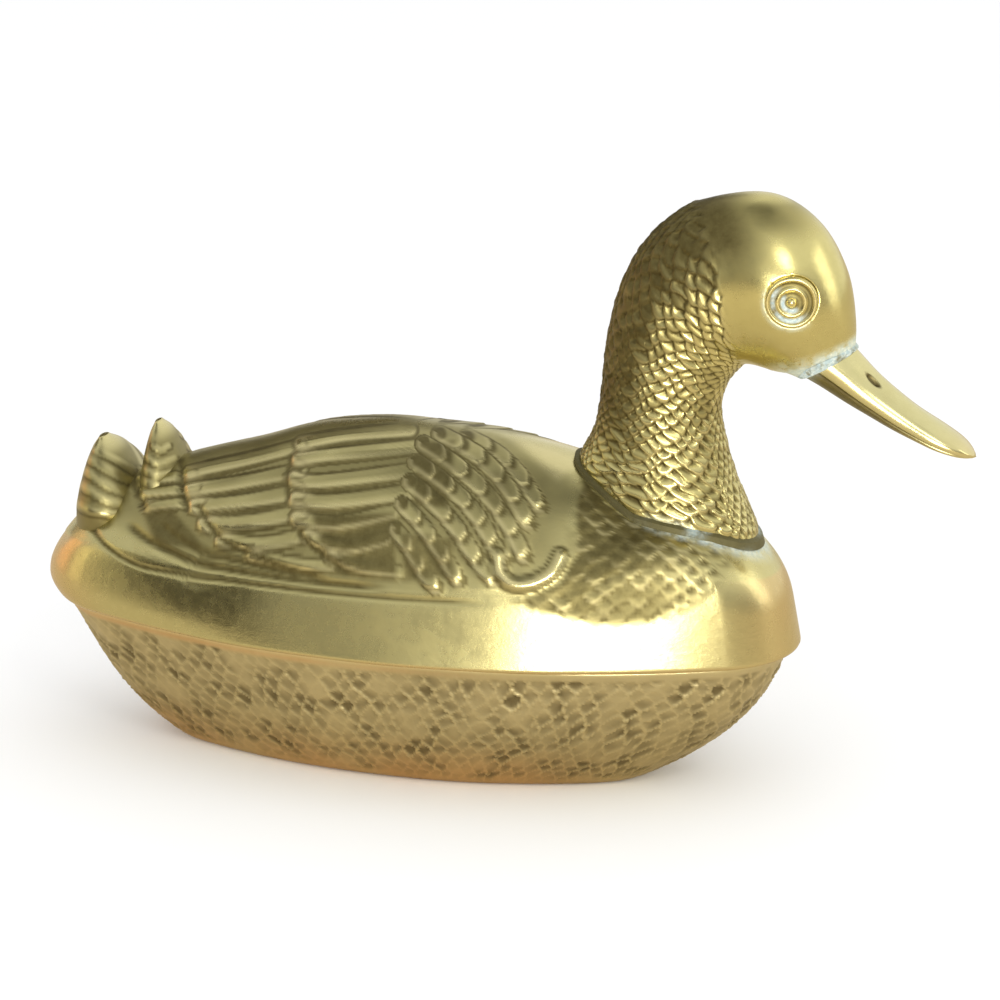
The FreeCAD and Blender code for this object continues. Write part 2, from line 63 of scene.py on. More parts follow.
def egg(turn, rear, fore, half, rear_arc, fore_arc):
    """Points of an egg of six tangent arcs, by the angle of its outward normal."""
    left = np.sign(turn + 1e-9)
    turn = np.abs(turn)

    def end(reach, arc, sign, angle):
        side = ((reach - arc) ** 2 + half**2 - arc**2) / (2 * (half - arc))
        meet = np.arctan2(side - half, reach - arc)
        tip = angle < meet
        x = np.where(tip, reach - arc + arc * np.cos(angle), side * np.cos(angle))
        y = np.where(tip, arc * np.sin(angle), half - side + side * np.sin(angle))
        return sign * x, y

    fore_x, fore_y = end(fore, fore_arc, 1, turn)
    rear_x, rear_y = end(rear, rear_arc, -1, np.pi - turn)
    front = turn <= np.pi / 2
    return np.where(front, fore_x, rear_x), np.where(front, fore_y, rear_y) * left


def run_along(x, y):
    """Length along a line of points, at each of them."""
    return np.concatenate([[0], np.cumsum(np.hypot(np.diff(x), np.diff(y)))])


def even_turns(count, sizes):
    """Normal angles that cut an egg's outline into equal lengths, the same on both sides."""
    fine = np.linspace(0, np.pi, 4001)
    run = run_along(*egg(fine, *sizes))
    half = np.interp(np.linspace(0, run[-1], count // 2 + 1), run, fine)
    return np.concatenate([half, -half[-2:0:-1]])


def read_vertices(piece, what):
    values = np.empty(len(piece.data.vertices) * 3)
    piece.data.vertices.foreach_get(what, values)
    return values.reshape(-1, 3)


def normals_of(piece):
    return read_vertices(piece, "normal")


def closed_form(name, segments, rings):
    """A ball from Blender's own primitive, with the ring and the place in the ring of each vertex."""
    bpy.ops.object.select_all(action="DESELECT")
    bpy.ops.mesh.primitive_uv_sphere_add(segments=segments, ring_count=rings, radius=1, location=(0, 0, 0))
    piece = bpy.context.object
    piece.name = piece.data.name = name
    co = read_vertices(piece, "co")
    ring = np.round(np.arccos(np.clip(-co[:, 2], -1, 1)) / np.pi * rings).astype(int)
    spot = np.round(np.arctan2(co[:, 1], co[:, 0]) / (2 * np.pi) * segments).astype(int) % segments
    return piece, ring, spot


def place_points(piece, points):
    piece.data.vertices.foreach_set("co", (points * MM).astype(np.float32).ravel())
    piece.data.update()


def shape_piece(piece, points):
    """Moves the vertices to their places, turns the faces outwards and smooths them."""
    place_points(piece, points)
    bpy.ops.object.select_all(action="DESELECT")
    bpy.context.view_layer.objects.active = piece
    piece.select_set(True)
    bpy.ops.object.mode_set(mode="EDIT")
    bpy.ops.mesh.select_all(action="SELECT")
    bpy.ops.mesh.normals_make_consistent(inside=False)
    bpy.ops.object.mode_set(mode="OBJECT")
    bpy.ops.object.shade_smooth()


def paint(piece, **masks):
    """Stores masks on the vertices, for the finish: what is dark (patina and painted shade), bright (wear and
    painted sheen), warm in tone (some of it painted reflection and painted highlight) or crusted.
    """
    for name in ("dark", "worn", "warm", "residue"):
        mask = np.broadcast_to(masks.get(name, 0.0), len(piece.data.vertices))
        layer = piece.data.attributes.new(name, "FLOAT", "POINT")
        layer.data.foreach_set("value", np.clip(mask, 0, 1).astype(np.float32))


def smooth(low, high, value):
    t = np.clip((value - low) / (high - low), 0, 1)
    return t * t * (3 - 2 * t)


def rounded(height, radius):
    """How far an edge of that radius stands back, at a height from where it starts."""
    return radius * (1 - np.sqrt(np.clip(1 - (1 - np.minimum(height, radius) / radius) ** 2, 0, 1)))


def peak(value, middle, width):
    """1 where the value is at the middle, fading out on both sides over the width."""
    return np.exp(-((value - middle) / width) ** 2)


def waves(x, y, z, size, seed=0):
    """Slow, repeatable unevenness between -1 and 1, as handwork has."""
    rng = np.random.default_rng(seed)
    total = 0
    for _ in range(6):
        way = rng.normal(size=3)
        way *= rng.uniform(0.6, 1.5) * 2 * np.pi / size / np.linalg.norm(way)
        total = total + np.sin(way[0] * x + way[1] * y + way[2] * z + rng.uniform(0, 6.28))
    return total / 3.2


def scales(along, down, width, length, reach=1.75, pointed=2.0):
    """Overlapping scales, each row laid over the one below. Gives the way down each scale, from 0 at the
    root to 1 at the free edge, the distance inside that edge, and a number of the scale's own, since no
    two were struck alike."""
    fall = np.zeros_like(along)
    inside = np.full_like(along, 9.0)
    own = np.zeros_like(along)
    taken = np.zeros(along.shape, bool)
    top = np.floor(down / length)
    for back in (1, 0):
        row = top - back
        shift = 0.5 * (row % 2)
        across = (along / width - shift) - np.round(along / width - shift)
        edge = reach * (1 - np.abs(across * 2) ** pointed * 0.55)
        far = down / length - row
        here = ~taken & (far < edge)
        fall = np.where(here, far / edge, fall)
        inside = np.where(here, edge - far, inside)
        count = row * 131 + np.round(along / width - shift) * 17
        own = np.where(here, np.sin(count * 12.9898) * 43758.5453 % 1, own)
        taken |= here
    return fall, inside, own


def bowl_level(height):
    """Outline sizes at a height, on the cubic that runs through the four levels."""
    sizes = [np.polyval(np.polyfit(BOWL_LEVELS[:, 0], BOWL_LEVELS[:, i], 3), height) for i in (1, 2, 3)]
    return sizes[0], sizes[1], sizes[2], sizes[2] * BOWL_ARCS[0], sizes[2] * BOWL_ARCS[1]


BOWL_SEGMENTS, HULL_ROWS, FLAT_ROWS = 720, 74, 5
hull_heights = np.concatenate([[0, 0.15, 0.6, 1.25], np.linspace(1.9, 29.9, HULL_ROWS), [30.18, SEAM_Z]])
inner_heights = np.array([SEAM_Z, 30.18, 29.6, 27, 24, 20, 16, 12, 8, 5, 3.2, 2.6, BOWL_WALL])
hull_end = FLAT_ROWS + len(hull_heights)
inner_end = hull_end + len(inner_heights)
bowl_rings = inner_end + FLAT_ROWS + 1
bowl, ring, spot = closed_form("bowl_casting", BOWL_SEGMENTS, bowl_rings)
turns = even_turns(BOWL_SEGMENTS, bowl_level(BELLY_Z))
turn = turns[spot]
is_foot = ring <= FLAT_ROWS
is_hull = ~is_foot & (ring <= hull_end)
is_inner = (ring > hull_end) & (ring <= inner_end)
is_floor = ring > inner_end
height = np.concatenate([np.zeros(FLAT_ROWS + 1), hull_heights, inner_heights,
                         np.full(FLAT_ROWS + 1, BOWL_WALL)])[ring]
rim_inset = rounded(SEAM_Z - height, RIM_ROUND)
inset = np.where(is_hull, rounded(height, FOOT_ROUND) + rim_inset, FOOT_ROUND)
inset = np.where(is_inner, BOWL_WALL - rim_inset + 0.4 * np.clip(4 - height, 0, None), inset)
inset = np.where(is_floor, BOWL_WALL + 1.0, inset)
x, y = egg(turn, *(size - inset for size in bowl_level(height)))
share = np.where(is_foot, ring / (FLAT_ROWS + 0.5), 1.0)
share = np.where(is_floor, (bowl_rings - ring) / (FLAT_ROWS + 1.0), share)
points = np.stack([x * share, y * share, height], -1)
place_points(bowl, points)

# The net: scales point up towards the rim, in rows that run round the hull
half_turns = turns[:BOWL_SEGMENTS // 2 + 1]
half_x, half_y = egg(half_turns, *bowl_level(BELLY_Z))
half_run = run_along(half_x, half_y)
around = np.interp(np.abs(turn), half_turns, half_run)
slant = SEAM_Z - height + 0.35 * (half_y.max() - bowl_level(height)[2])
near_y = np.abs(y)
wobble = 0.62 * waves(x, near_y, height, 6, 3) + 0.9 * waves(x, near_y, height, 23, 7)
drift = 0.55 * waves(x, near_y, height, 7, 4) + 1.1 * waves(x, near_y, height, 27, 8)
fall, inside, own = scales(around + wobble, slant + 1.4 + drift, half_run[-1] / SCALES_A_SIDE, SCALE_LENGTH,
                           reach=1.72, pointed=1.35)
ridge = peak(inside, 0, 0.17)
net = is_hull * smooth(1.6, 2.6, SEAM_Z - height) * smooth(0.8, 3.5, height)
strength = np.clip(0.72 + 0.55 * waves(x, near_y, height, 8, 5), 0.2, 1.2) * (0.45 + 0.75 * own)
relief = net * strength * (0.30 * ridge - 0.30 * np.sin(np.clip(fall, 0, 1) * np.pi * 0.9) ** 0.8 - 0.05)
points += normals_of(bowl) * relief[:, None]
uneven = is_hull * 0.10 * waves(x, y, height, 24, 6)
points += normals_of(bowl) * uneven[:, None]
points[:, 2] = np.clip(points[:, 2], 0, SEAM_Z)
shape_piece(bowl, points)
cell = net * strength * np.clip(0.95 * np.sin(np.clip(fall, 0, 1) * np.pi * 0.95) - 1.1 * ridge, 0, 1)
# Painted reflection: the low hull is painted warm like the table it mirrors. Painted highlight: a bright,
# warm line along the rim, partly rubbed bright.
low_painted_reflection = 0.75 * smooth(15, 2, height) * smooth(55, 20, x)
rim_painted_highlight = 0.8 * smooth(27.6, 29.2, height) * smooth(40, -30, x)
paint(bowl, dark=np.maximum(cell, is_inner * 0.35 + is_floor * 0.4 + is_foot * 0.5),
      worn=net * ridge * 0.6 * strength + is_hull * smooth(29.0, 30.2, height),
      warm=is_hull * (low_painted_reflection + rim_painted_highlight))


def add_node(tree, kind, values=None, **props):
    made = tree.nodes.new(kind)
    for name, value in props.items():
        setattr(made, name, value)
    for socket, value in (values or {}).items():
        if isinstance(value, bpy.types.NodeSocket):
            tree.links.new(value, made.inputs[socket])
        else:
            made.inputs[socket].default_value = value
    return made


def sock(tree, kind, values=None, out=0, **props):
    return add_node(tree, kind, values, **props).outputs[out]


def blend(tree, amount, low, high, mode="MIX"):
    return sock(tree, "ShaderNodeMix", {0: amount, 6: low, 7: high}, out=2, data_type="RGBA", blend_type=mode)


def maths(tree, what, *values):
    return sock(tree, "ShaderNodeMath", dict(enumerate(values)), operation=what)


def spread(tree, value, low, high, out_low=0.0, out_high=1.0):
    return sock(tree, "ShaderNodeMapRange", {0: value, 1: low, 2: high, 3: out_low, 4: out_high})


def aged_brass_group():
    """Old hand-polished brass: colour, roughness and height, from where it is dark (patina and painted
    shade), bright (wear and painted sheen), warm in tone (some of it painted reflection) or crusted.
    """
    group = bpy.data.node_groups.new("aged_brass", "ShaderNodeTree")
    for label, start in (("Bright", (0.78, 0.62, 0.27, 1)), ("Deep", (0.30, 0.22, 0.07, 1)),
                         ("Warm", (0.72, 0.44, 0.20, 1)), ("Satin", 0.32), ("Tarnish", 0.5), ("Grain", 1.0)):
        kind = "NodeSocketColor" if isinstance(start, tuple) else "NodeSocketFloat"
        made = group.interface.new_socket(label, in_out="INPUT", socket_type=kind)
        made.default_value = start
    for label, kind in (("Color", "NodeSocketColor"), ("Roughness", "NodeSocketFloat"),
                        ("Metallic", "NodeSocketFloat"), ("Height", "NodeSocketFloat")):
        group.interface.new_socket(label, in_out="OUTPUT", socket_type=kind)
    given = group.nodes.new("NodeGroupInput").outputs
    out = group.nodes.new("NodeGroupOutput")
    place = sock(group, "ShaderNodeTexCoord", out=3)
    dark, worn, warm, residue = (sock(group, "ShaderNodeAttribute", out=2, attribute_name=name)
                                 for name in ("dark", "worn", "warm", "residue"))

    def noise(where, scale, detail, roughness):
        return sock(group, "ShaderNodeTexNoise", {"Vector": where, "Scale": scale, "Detail": detail,
                                                  "Roughness": roughness})

    def times(a, b):
        return maths(group, "MULTIPLY", a, b)

    def plus(a, b):
        return maths(group, "ADD", a, b)

    cloud = noise(place, 38, 2, 0.5)
    fine = noise(place, 420, 6, 0.65)
    speck = noise(place, 1500, 3, 0.7)
    stretched = sock(group, "ShaderNodeMapping", {"Vector": place, "Rotation": (0.1, 0.3, 0.05),
                                                  "Scale": (60, 900, 900)})
    strokes = noise(stretched, 1, 4, 0.6)
    # a film of tarnish, a fine mottle, dark hollows and painted shade, rubbed edges and painted sheen, and
    # crusts of residue, one over another
    film = spread(group, cloud, 0.45, 0.78)
    warmed = times(warm, spread(group, cloud, 0.3, 0.6, 0.35, 1.0))
    tone = blend(group, warmed, given["Bright"], given["Warm"])
    tone = blend(group, times(film, times(given["Tarnish"], 0.45)), tone, given["Deep"])
    mottled = blend(group, spread(group, fine, 0.35, 0.7, 0.0, 0.22), tone, (0.50, 0.42, 0.16, 1), "MULTIPLY")
    tone = blend(group, 0.5, tone, mottled)
    patina_and_shade = times(dark, spread(group, fine, 0.25, 0.75, 1.0, 0.8))
    tone = blend(group, times(patina_and_shade, 0.96), tone, given["Deep"])
    tone = blend(group, times(worn, 0.62), tone, (0.82, 0.72, 0.38, 1))
    crust = times(residue, spread(group, fine, 0.30, 0.52))
    crust_tone = blend(group, spread(group, speck, 0.4, 0.65), (0.50, 0.64, 0.68, 1), (0.80, 0.86, 0.80, 1))
    tone = blend(group, times(crust, 0.85), tone, crust_tone)
    rough = plus(given["Satin"], times(patina_and_shade, 0.24))
    rough = plus(rough, spread(group, fine, 0.3, 0.75, -0.03, 0.055))
    rough = plus(rough, times(film, 0.08))
    rough = maths(group, "SUBTRACT", rough, times(worn, 0.10))
    rough = plus(rough, times(crust, 0.35))
    metal = maths(group, "SUBTRACT", 1.0, times(crust, 0.75))
    height = plus(times(strokes, 0.5), times(speck, 0.35))
    height = plus(height, times(fine, 0.9))
    height = plus(times(height, given["Grain"]), times(crust, 2.0))
    for label, value in (("Color", tone), ("Roughness", rough), ("Metallic", metal), ("Height", height)):
        group.links.new(value, out.inputs[label])
    return group


AGED_BRASS = aged_brass_group()


def brass(name, bump=0.18, **sockets):
    """A brass finish from the shared group, with its own tones."""
    made = bpy.data.materials.new(name)
    made.use_nodes = True
    tree = made.node_tree
    shader = tree.nodes["Principled BSDF"]
    group = tree.nodes.new("ShaderNodeGroup")
    group.node_tree = AGED_BRASS
    for label, value in sockets.items():
        group.inputs[label].default_value = (*value, 1) if isinstance(value, tuple) else value
    for given, taken in (("Color", "Base Color"), ("Roughness", "Roughness"), ("Metallic", "Metallic")):
        tree.links.new(group.outputs[given], shader.inputs[taken])
    bumps = {"Strength": bump, "Distance": 0.0002, "Height": group.outputs["Height"]}
    tree.links.new(sock(tree, "ShaderNodeBump", bumps), shader.inputs["Normal"])
    return made


bowl.data.materials.append(brass("bowl_brass", bump=0.30, Bright=(0.68, 0.585, 0.33), Deep=(0.19, 0.15, 0.07),
                                 Warm=(0.80, 0.52, 0.24), Satin=0.40, Tarnish=0.55))
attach(bowl, "bowl")
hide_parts("bowl")


# ---------------------------------------------------------------- lid
# The upper half: a casting with a smooth buffed belt that flares to the seam, a back chased with rows of
# wing feathers, a scaled breast and two upturned groups of tail feathers. A lip under its edge drops
# into the bowl. The feather fields are dark in the hollows and rubbed bright on their edges; some fields
# carry painted shade, and the mantle a painted reflection. The belt's ends are painted warm as a painted
# reflection, and a painted highlight runs along its lower edge.

LID_SEGMENTS, BACK_ROWS, BELT_ROWS = 560, 90, 34
SEAM_REAR, SEAM_FORE, SEAM_HALF = 81.8, 82.0, 34.2
BELT_ARCS = 21.6 / SEAM_HALF, 20.0 / SEAM_HALF
# The drawing of the chasing: its middle on the duck, its scale, and where it is seen from
DRAWN_X, DRAWN_Z, DRAWN_SCALE = 17.7, 56.7, 4.789
LOOK_TURN, LOOK_TILT, LOOK_FROM = math.radians(15.9), math.radians(18.3), 870


def softer_max(a, b, soft):
    gap = np.clip(soft - np.abs(a - b), 0, None) / soft
    return np.maximum(a, b) + gap * gap * soft / 4


def ball_height(x, y, middle, half, power=2.0):
    left = 1 - np.abs((x - middle[0]) / half[0]) ** power - np.abs(y / half[1]) ** power
    return middle[1] + half[2] * np.clip(left, 0, None) ** (1 / power) - 40 * np.clip(-left, 0, None)


def swell(x, y):
    """Height of the lid's back, breast and rump above the seam."""
    back = ball_height(x, y, (0.1, -10), (87.4, 34.9, 52))
    back = back - 2.1 * peak(x, -40, 17)
    breast = ball_height(x, y, (46, -2), (39, 30.6, 34))
    rump = ball_height(x, y, (-57, -2), (24.5, 28.5, 19.0), 3.2)
    return softer_max(softer_max(back, breast, 2.0), rump, 4.0)


def belt(turn, height):
    """The lid's leaning wall, which tucks in a little above the seam at the rear."""
    tuck = 2.6 * np.clip(1 - height / 4.5, 0, 1) ** 2
    bulge = 1.2 * peak(height, 6, 4.5)
    half = SEAM_HALF - 3.6 * height / 15
    rear = SEAM_REAR - 2 * height / 11 - tuck + bulge
    fore = SEAM_FORE - 2 * height / 11
    return egg(turn, rear, fore, half, half * BELT_ARCS[0], half * BELT_ARCS[1])


lid_turns = even_turns(LID_SEGMENTS, (SEAM_REAR, SEAM_FORE, SEAM_HALF, 21.6, 20.0))
low, high = np.zeros(LID_SEGMENTS), np.full(LID_SEGMENTS, 38.0)
for _ in range(40):
    middle = (low + high) / 2
    over = swell(*belt(lid_turns, middle)) > middle
    low, high = np.where(over, middle, low), np.where(over, high, middle)
belt_top = low

inner_rows = 15
lid_rings = inner_rows + BELT_ROWS + BACK_ROWS
lid, ring, spot = closed_form("lid_casting", LID_SEGMENTS, lid_rings)
turn = lid_turns[spot]
top = belt_top[spot]
# from the ceiling inside, down to the land and the lip, over the seam edge and up the belt to the crest
is_inside = ring < inner_rows
is_belt = ~is_inside & (ring < inner_rows + BELT_ROWS)
is_back = ~is_inside & ~is_belt
rise = np.clip((ring - inner_rows) / (BELT_ROWS - 1.0), 0, 1)
height = top * rise**1.15
edge = rounded(height, 0.8)
bx, by = belt(turn, height)
shrink = 1 - edge / 60
x, y, z = bx * shrink, by * (1 - edge / 32), height
back_share = np.minimum((lid_rings - ring) / BACK_ROWS, 0.999) ** 0.92
tx, ty = belt(turn, top)
x = np.where(is_back, tx * back_share, x)
y = np.where(is_back, ty * back_share, y)
z = np.where(is_back, swell(x, y), z)
# the hollow inside and the lip: share of the inner outline, height, and inset from the bowl's rim
hollow = np.array([
    (0.0, 0, 4.35), (0.3, 0, 4.35), (0.55, 0, 4.35), (0.75, 0, 4.35), (0.9, 0, 4.35), (0.99, 0, 4.35),
    (1, 4.0, 4.35), (1, 1.0, 4.35), (1, -1.2, 4.35), (1, -3.4, 4.35), (1, -3.6, 4.15), (1, -3.6, 3.05),
    (1, -3.4, 2.85), (1, -0.1, 2.85), (1, 0.0, 2.6),
])
row = hollow[np.clip(ring, 0, inner_rows - 1)]
ix, iy = egg(turn, *(size - row[:, 2] for size in (78.6, 79.6, 32.6, 20.0, 19.2)))
ix, iy = ix * row[:, 0], iy * row[:, 0]
ceiling = np.clip(swell(ix, iy) - BOWL_WALL, 4.2, None)
x = np.where(is_inside, ix, x)
y = np.where(is_inside, iy, y)
z = np.where(is_inside, np.where(row[:, 0] < 0.999, ceiling, row[:, 1]), z)
lid_points = np.stack([x, y, z + SEAM_Z], -1)
grid = np.zeros((lid_rings + 1, LID_SEGMENTS), int)
grid[ring, spot] = np.arange(len(ring))
first = inner_rows + BELT_ROWS - 13
blunt = np.sin(np.linspace(0, np.pi, 24))[:, None, None]
rows_of_points = lid_points[grid]
for _ in range(60):    # rounds the edge between the belt and the back
    between = (rows_of_points[first - 1:first + 23] + rows_of_points[first + 1:first + 25]) / 2
    rows_of_points[first:first + 24] += 0.7 * blunt * (between - rows_of_points[first:first + 24])
lid_points[grid[first:first + 24]] = rows_of_points[first:first + 24]
place_points(lid, lid_points)


def flank_view(x, y, z):
    """Places on a flank as they appear from the duck's right, a little from the front and above, on a
    drawing 1000 wide: the chasing below is laid out on it, on both sides alike."""
    x, z, side = x - DRAWN_X, z + SEAM_Z - DRAWN_Z, np.abs(y)
    right = x * math.cos(LOOK_TURN) - side * math.sin(LOOK_TURN)
    level = x * math.sin(LOOK_TURN) + side * math.cos(LOOK_TURN)
    nearer = DRAWN_SCALE / (1 - (level * math.cos(LOOK_TILT) + z * math.sin(LOOK_TILT)) / LOOK_FROM)
    return 500 + nearer * right, 500 - nearer * (z * math.cos(LOOK_TILT) - level * math.sin(LOOK_TILT))


def through(table, where):
    """A smooth curve through each column of a table, at places counted in rows."""
    table = np.vstack([2 * table[0] - table[1], table, 2 * table[-1] - table[-2]])
    i = np.clip(np.floor(where).astype(int), 0, len(table) - 4)
    t = (where - i)[:, None]
    a, b, c, d = table[i], table[i + 1], table[i + 2], table[i + 3]
    return 0.5 * (2 * b + (c - a) * t + (2 * a - 5 * b + 4 * c - d) * t**2 + (3 * b - a - 3 * c + d) * t**3)


def stroke(across, down, line, half_width):
    """Distance to a line of points as a share of the half width, signed by side, and the way along it."""
    best = np.full(across.shape, 9.0)
    side = np.zeros_like(best)
    way = np.zeros_like(best)
    line = through(np.array(line, float), np.linspace(0, len(line) - 1, 3 * len(line) - 2))
    lengths = np.hypot(*np.diff(line, axis=0).T)
    total, done = lengths.sum(), 0.0
    for (x0, y0), (x1, y1), length in zip(line[:-1], line[1:], lengths):
        dx, dy = (x1 - x0) / length, (y1 - y0) / length
        t = np.clip((across - x0) * dx + (down - y0) * dy, 0, length)
        ex, ey = across - x0 - t * dx, down - y0 - t * dy
        distance = np.hypot(ex, ey) / half_width
        closer = distance < best
        best = np.where(closer, distance, best)
        side = np.where(closer, np.sign(dx * ey - dy * ex), side)
        way = np.where(closer, (done + t) / total, way)
        done += length
    return best, side, way


def in_field(across, down, corners, soft=6.0):
    """1 inside a field given by its corners, fading out over its soft border."""
    corners = np.array(corners, float)
    inside = np.zeros(across.shape, bool)
    nearest = np.full(across.shape, 1e3)
    for (x0, y0), (x1, y1) in zip(corners, np.roll(corners, -1, axis=0)):
        crosses = (y0 > down) != (y1 > down)
        with np.errstate(divide="ignore", invalid="ignore"):
            at = x0 + (down - y0) / (y1 - y0 + 1e-12) * (x1 - x0)
        inside ^= crosses & (across < at)
        length = math.hypot(x1 - x0, y1 - y0)
        t = np.clip(((across - x0) * (x1 - x0) + (down - y0) * (y1 - y0)) / length**2, 0, 1)
        nearest = np.minimum(nearest, np.hypot(across - x0 - t * (x1 - x0), down - y0 - t * (y1 - y0)))
    return np.where(inside, smooth(0, soft, nearest), 0.0)


# Long wing feathers, in tiers from the tail forward: the line of each shaft and its half width
WING_FEATHERS = [
    ([(138, 481), (160, 478), (192, 474)], 6.0), ([(141, 493), (165, 491), (196, 487)], 6.0),
    ([(146, 506), (170, 504), (200, 500)], 6.5),
    ([(189, 473), (235, 462), (300, 446)], 7.5), ([(190, 490), (240, 482), (300, 470)], 8.5),
    ([(195, 506), (240, 502), (298, 492)], 9.0), ([(205, 524), (250, 522), (300, 512)], 9.0),
    ([(222, 540), (262, 544), (302, 536)], 8.5), ([(252, 554), (290, 563), (330, 566)], 7.5),
    ([(302, 444), (345, 436), (410, 430)], 8.0), ([(298, 459), (330, 455), (420, 446)], 8.0),
    ([(292, 478), (318, 482), (414, 470)], 8.5), ([(296, 500), (330, 502), (408, 492)], 9.0),
    ([(298, 519), (335, 524), (392, 512)], 9.0), ([(308, 537), (345, 548), (384, 540)], 8.5),
    ([(330, 556), (362, 568), (398, 572)], 7.5),
]
# Rows of coverts that run down over the wing's shoulder: their lines, half widths and feathers in each
COVERTS = [
    ([(468, 436), (496, 452), (520, 474), (540, 506)], 8.5, 4),
    ([(440, 434), (476, 454), (505, 483), (528, 522)], 9.5, 5),
    ([(424, 444), (455, 464), (485, 492), (508, 524), (524, 556)], 9.5, 6),
    ([(416, 462), (444, 482), (470, 507), (490, 538), (503, 562)], 9.5, 6),
    ([(410, 482), (434, 503), (456, 528), (474, 556), (494, 580)], 9.5, 5),
    ([(402, 504), (422, 526), (440, 552), (458, 580)], 9.0, 4),
    ([(396, 530), (410, 550), (424, 574), (436, 588)], 8.5, 3),
]
# The curled edge that ends the coverts over the breast
SCROLL = [(497, 556), (499, 572), (512, 584), (533, 583), (552, 572), (561, 556)]
# Chased grooves along the flank and between the tail's feathers
GROOVES = [
    ([(124, 522), (149, 541), (179, 556), (202, 565), (260, 575), (330, 584), (392, 590)], 3.2, 0.75),
    ([(156, 522), (179, 541), (202, 553), (240, 562), (290, 573), (330, 580)], 2.8, 0.6),
    ([(196, 500), (206, 520), (224, 541), (256, 556), (288, 568), (330, 580)], 2.8, 0.45),
    ([(291, 452), (287, 478), (289, 505)], 3.0, 0.25), ([(296, 530), (318, 552), (345, 570)], 3.0, 0.4),
    ([(75, 516), (89, 523), (103, 543), (130, 562), (168, 572), (300, 590), (400, 599), (500, 604)],
     2.4, 0.35),
    ([(133, 461), (135, 486), (146, 514)], 2.8, 0.9), ([(181, 453), (181, 486), (188, 514)], 2.8, 0.9),
]
BREAST_FIELD = [
    (502, 604), (520, 594), (556, 580), (572, 552), (572, 500), (586, 462), (612, 470), (650, 490),
    (704, 516), (752, 526), (752, 548), (728, 580), (700, 606), (650, 626), (600, 628), (545, 617),
]
# The mantle, painted pale and bright: a painted reflection
MANTLE_FIELD = [(478, 424), (600, 436), (588, 470), (556, 486), (524, 456)]
# Fields painted darker over the wing and breast: painted shade
SHADED = [
    ([(302, 508), (402, 505), (404, 590), (326, 582)], 0.75),
    ([(412, 434), (462, 434), (456, 516), (404, 512)], 0.75),
    ([(392, 524), (462, 530), (462, 584), (396, 590)], 0.65),
    ([(128, 500), (176, 500), (226, 560), (150, 552)], 0.7),
    ([(470, 470), (512, 462), (528, 520), (484, 528)], 0.45),
    ([(590, 470), (662, 498), (640, 530), (584, 510)], 0.5),
    ([(560, 520), (660, 540), (650, 590), (556, 580)], 0.35),
]
WING_FIELD = [(120, 440), (300, 420), (440, 418), (520, 432), (575, 462), (572, 556), (540, 590), (400, 600),
              (300, 588), (200, 572), (140, 548), (96, 520)]


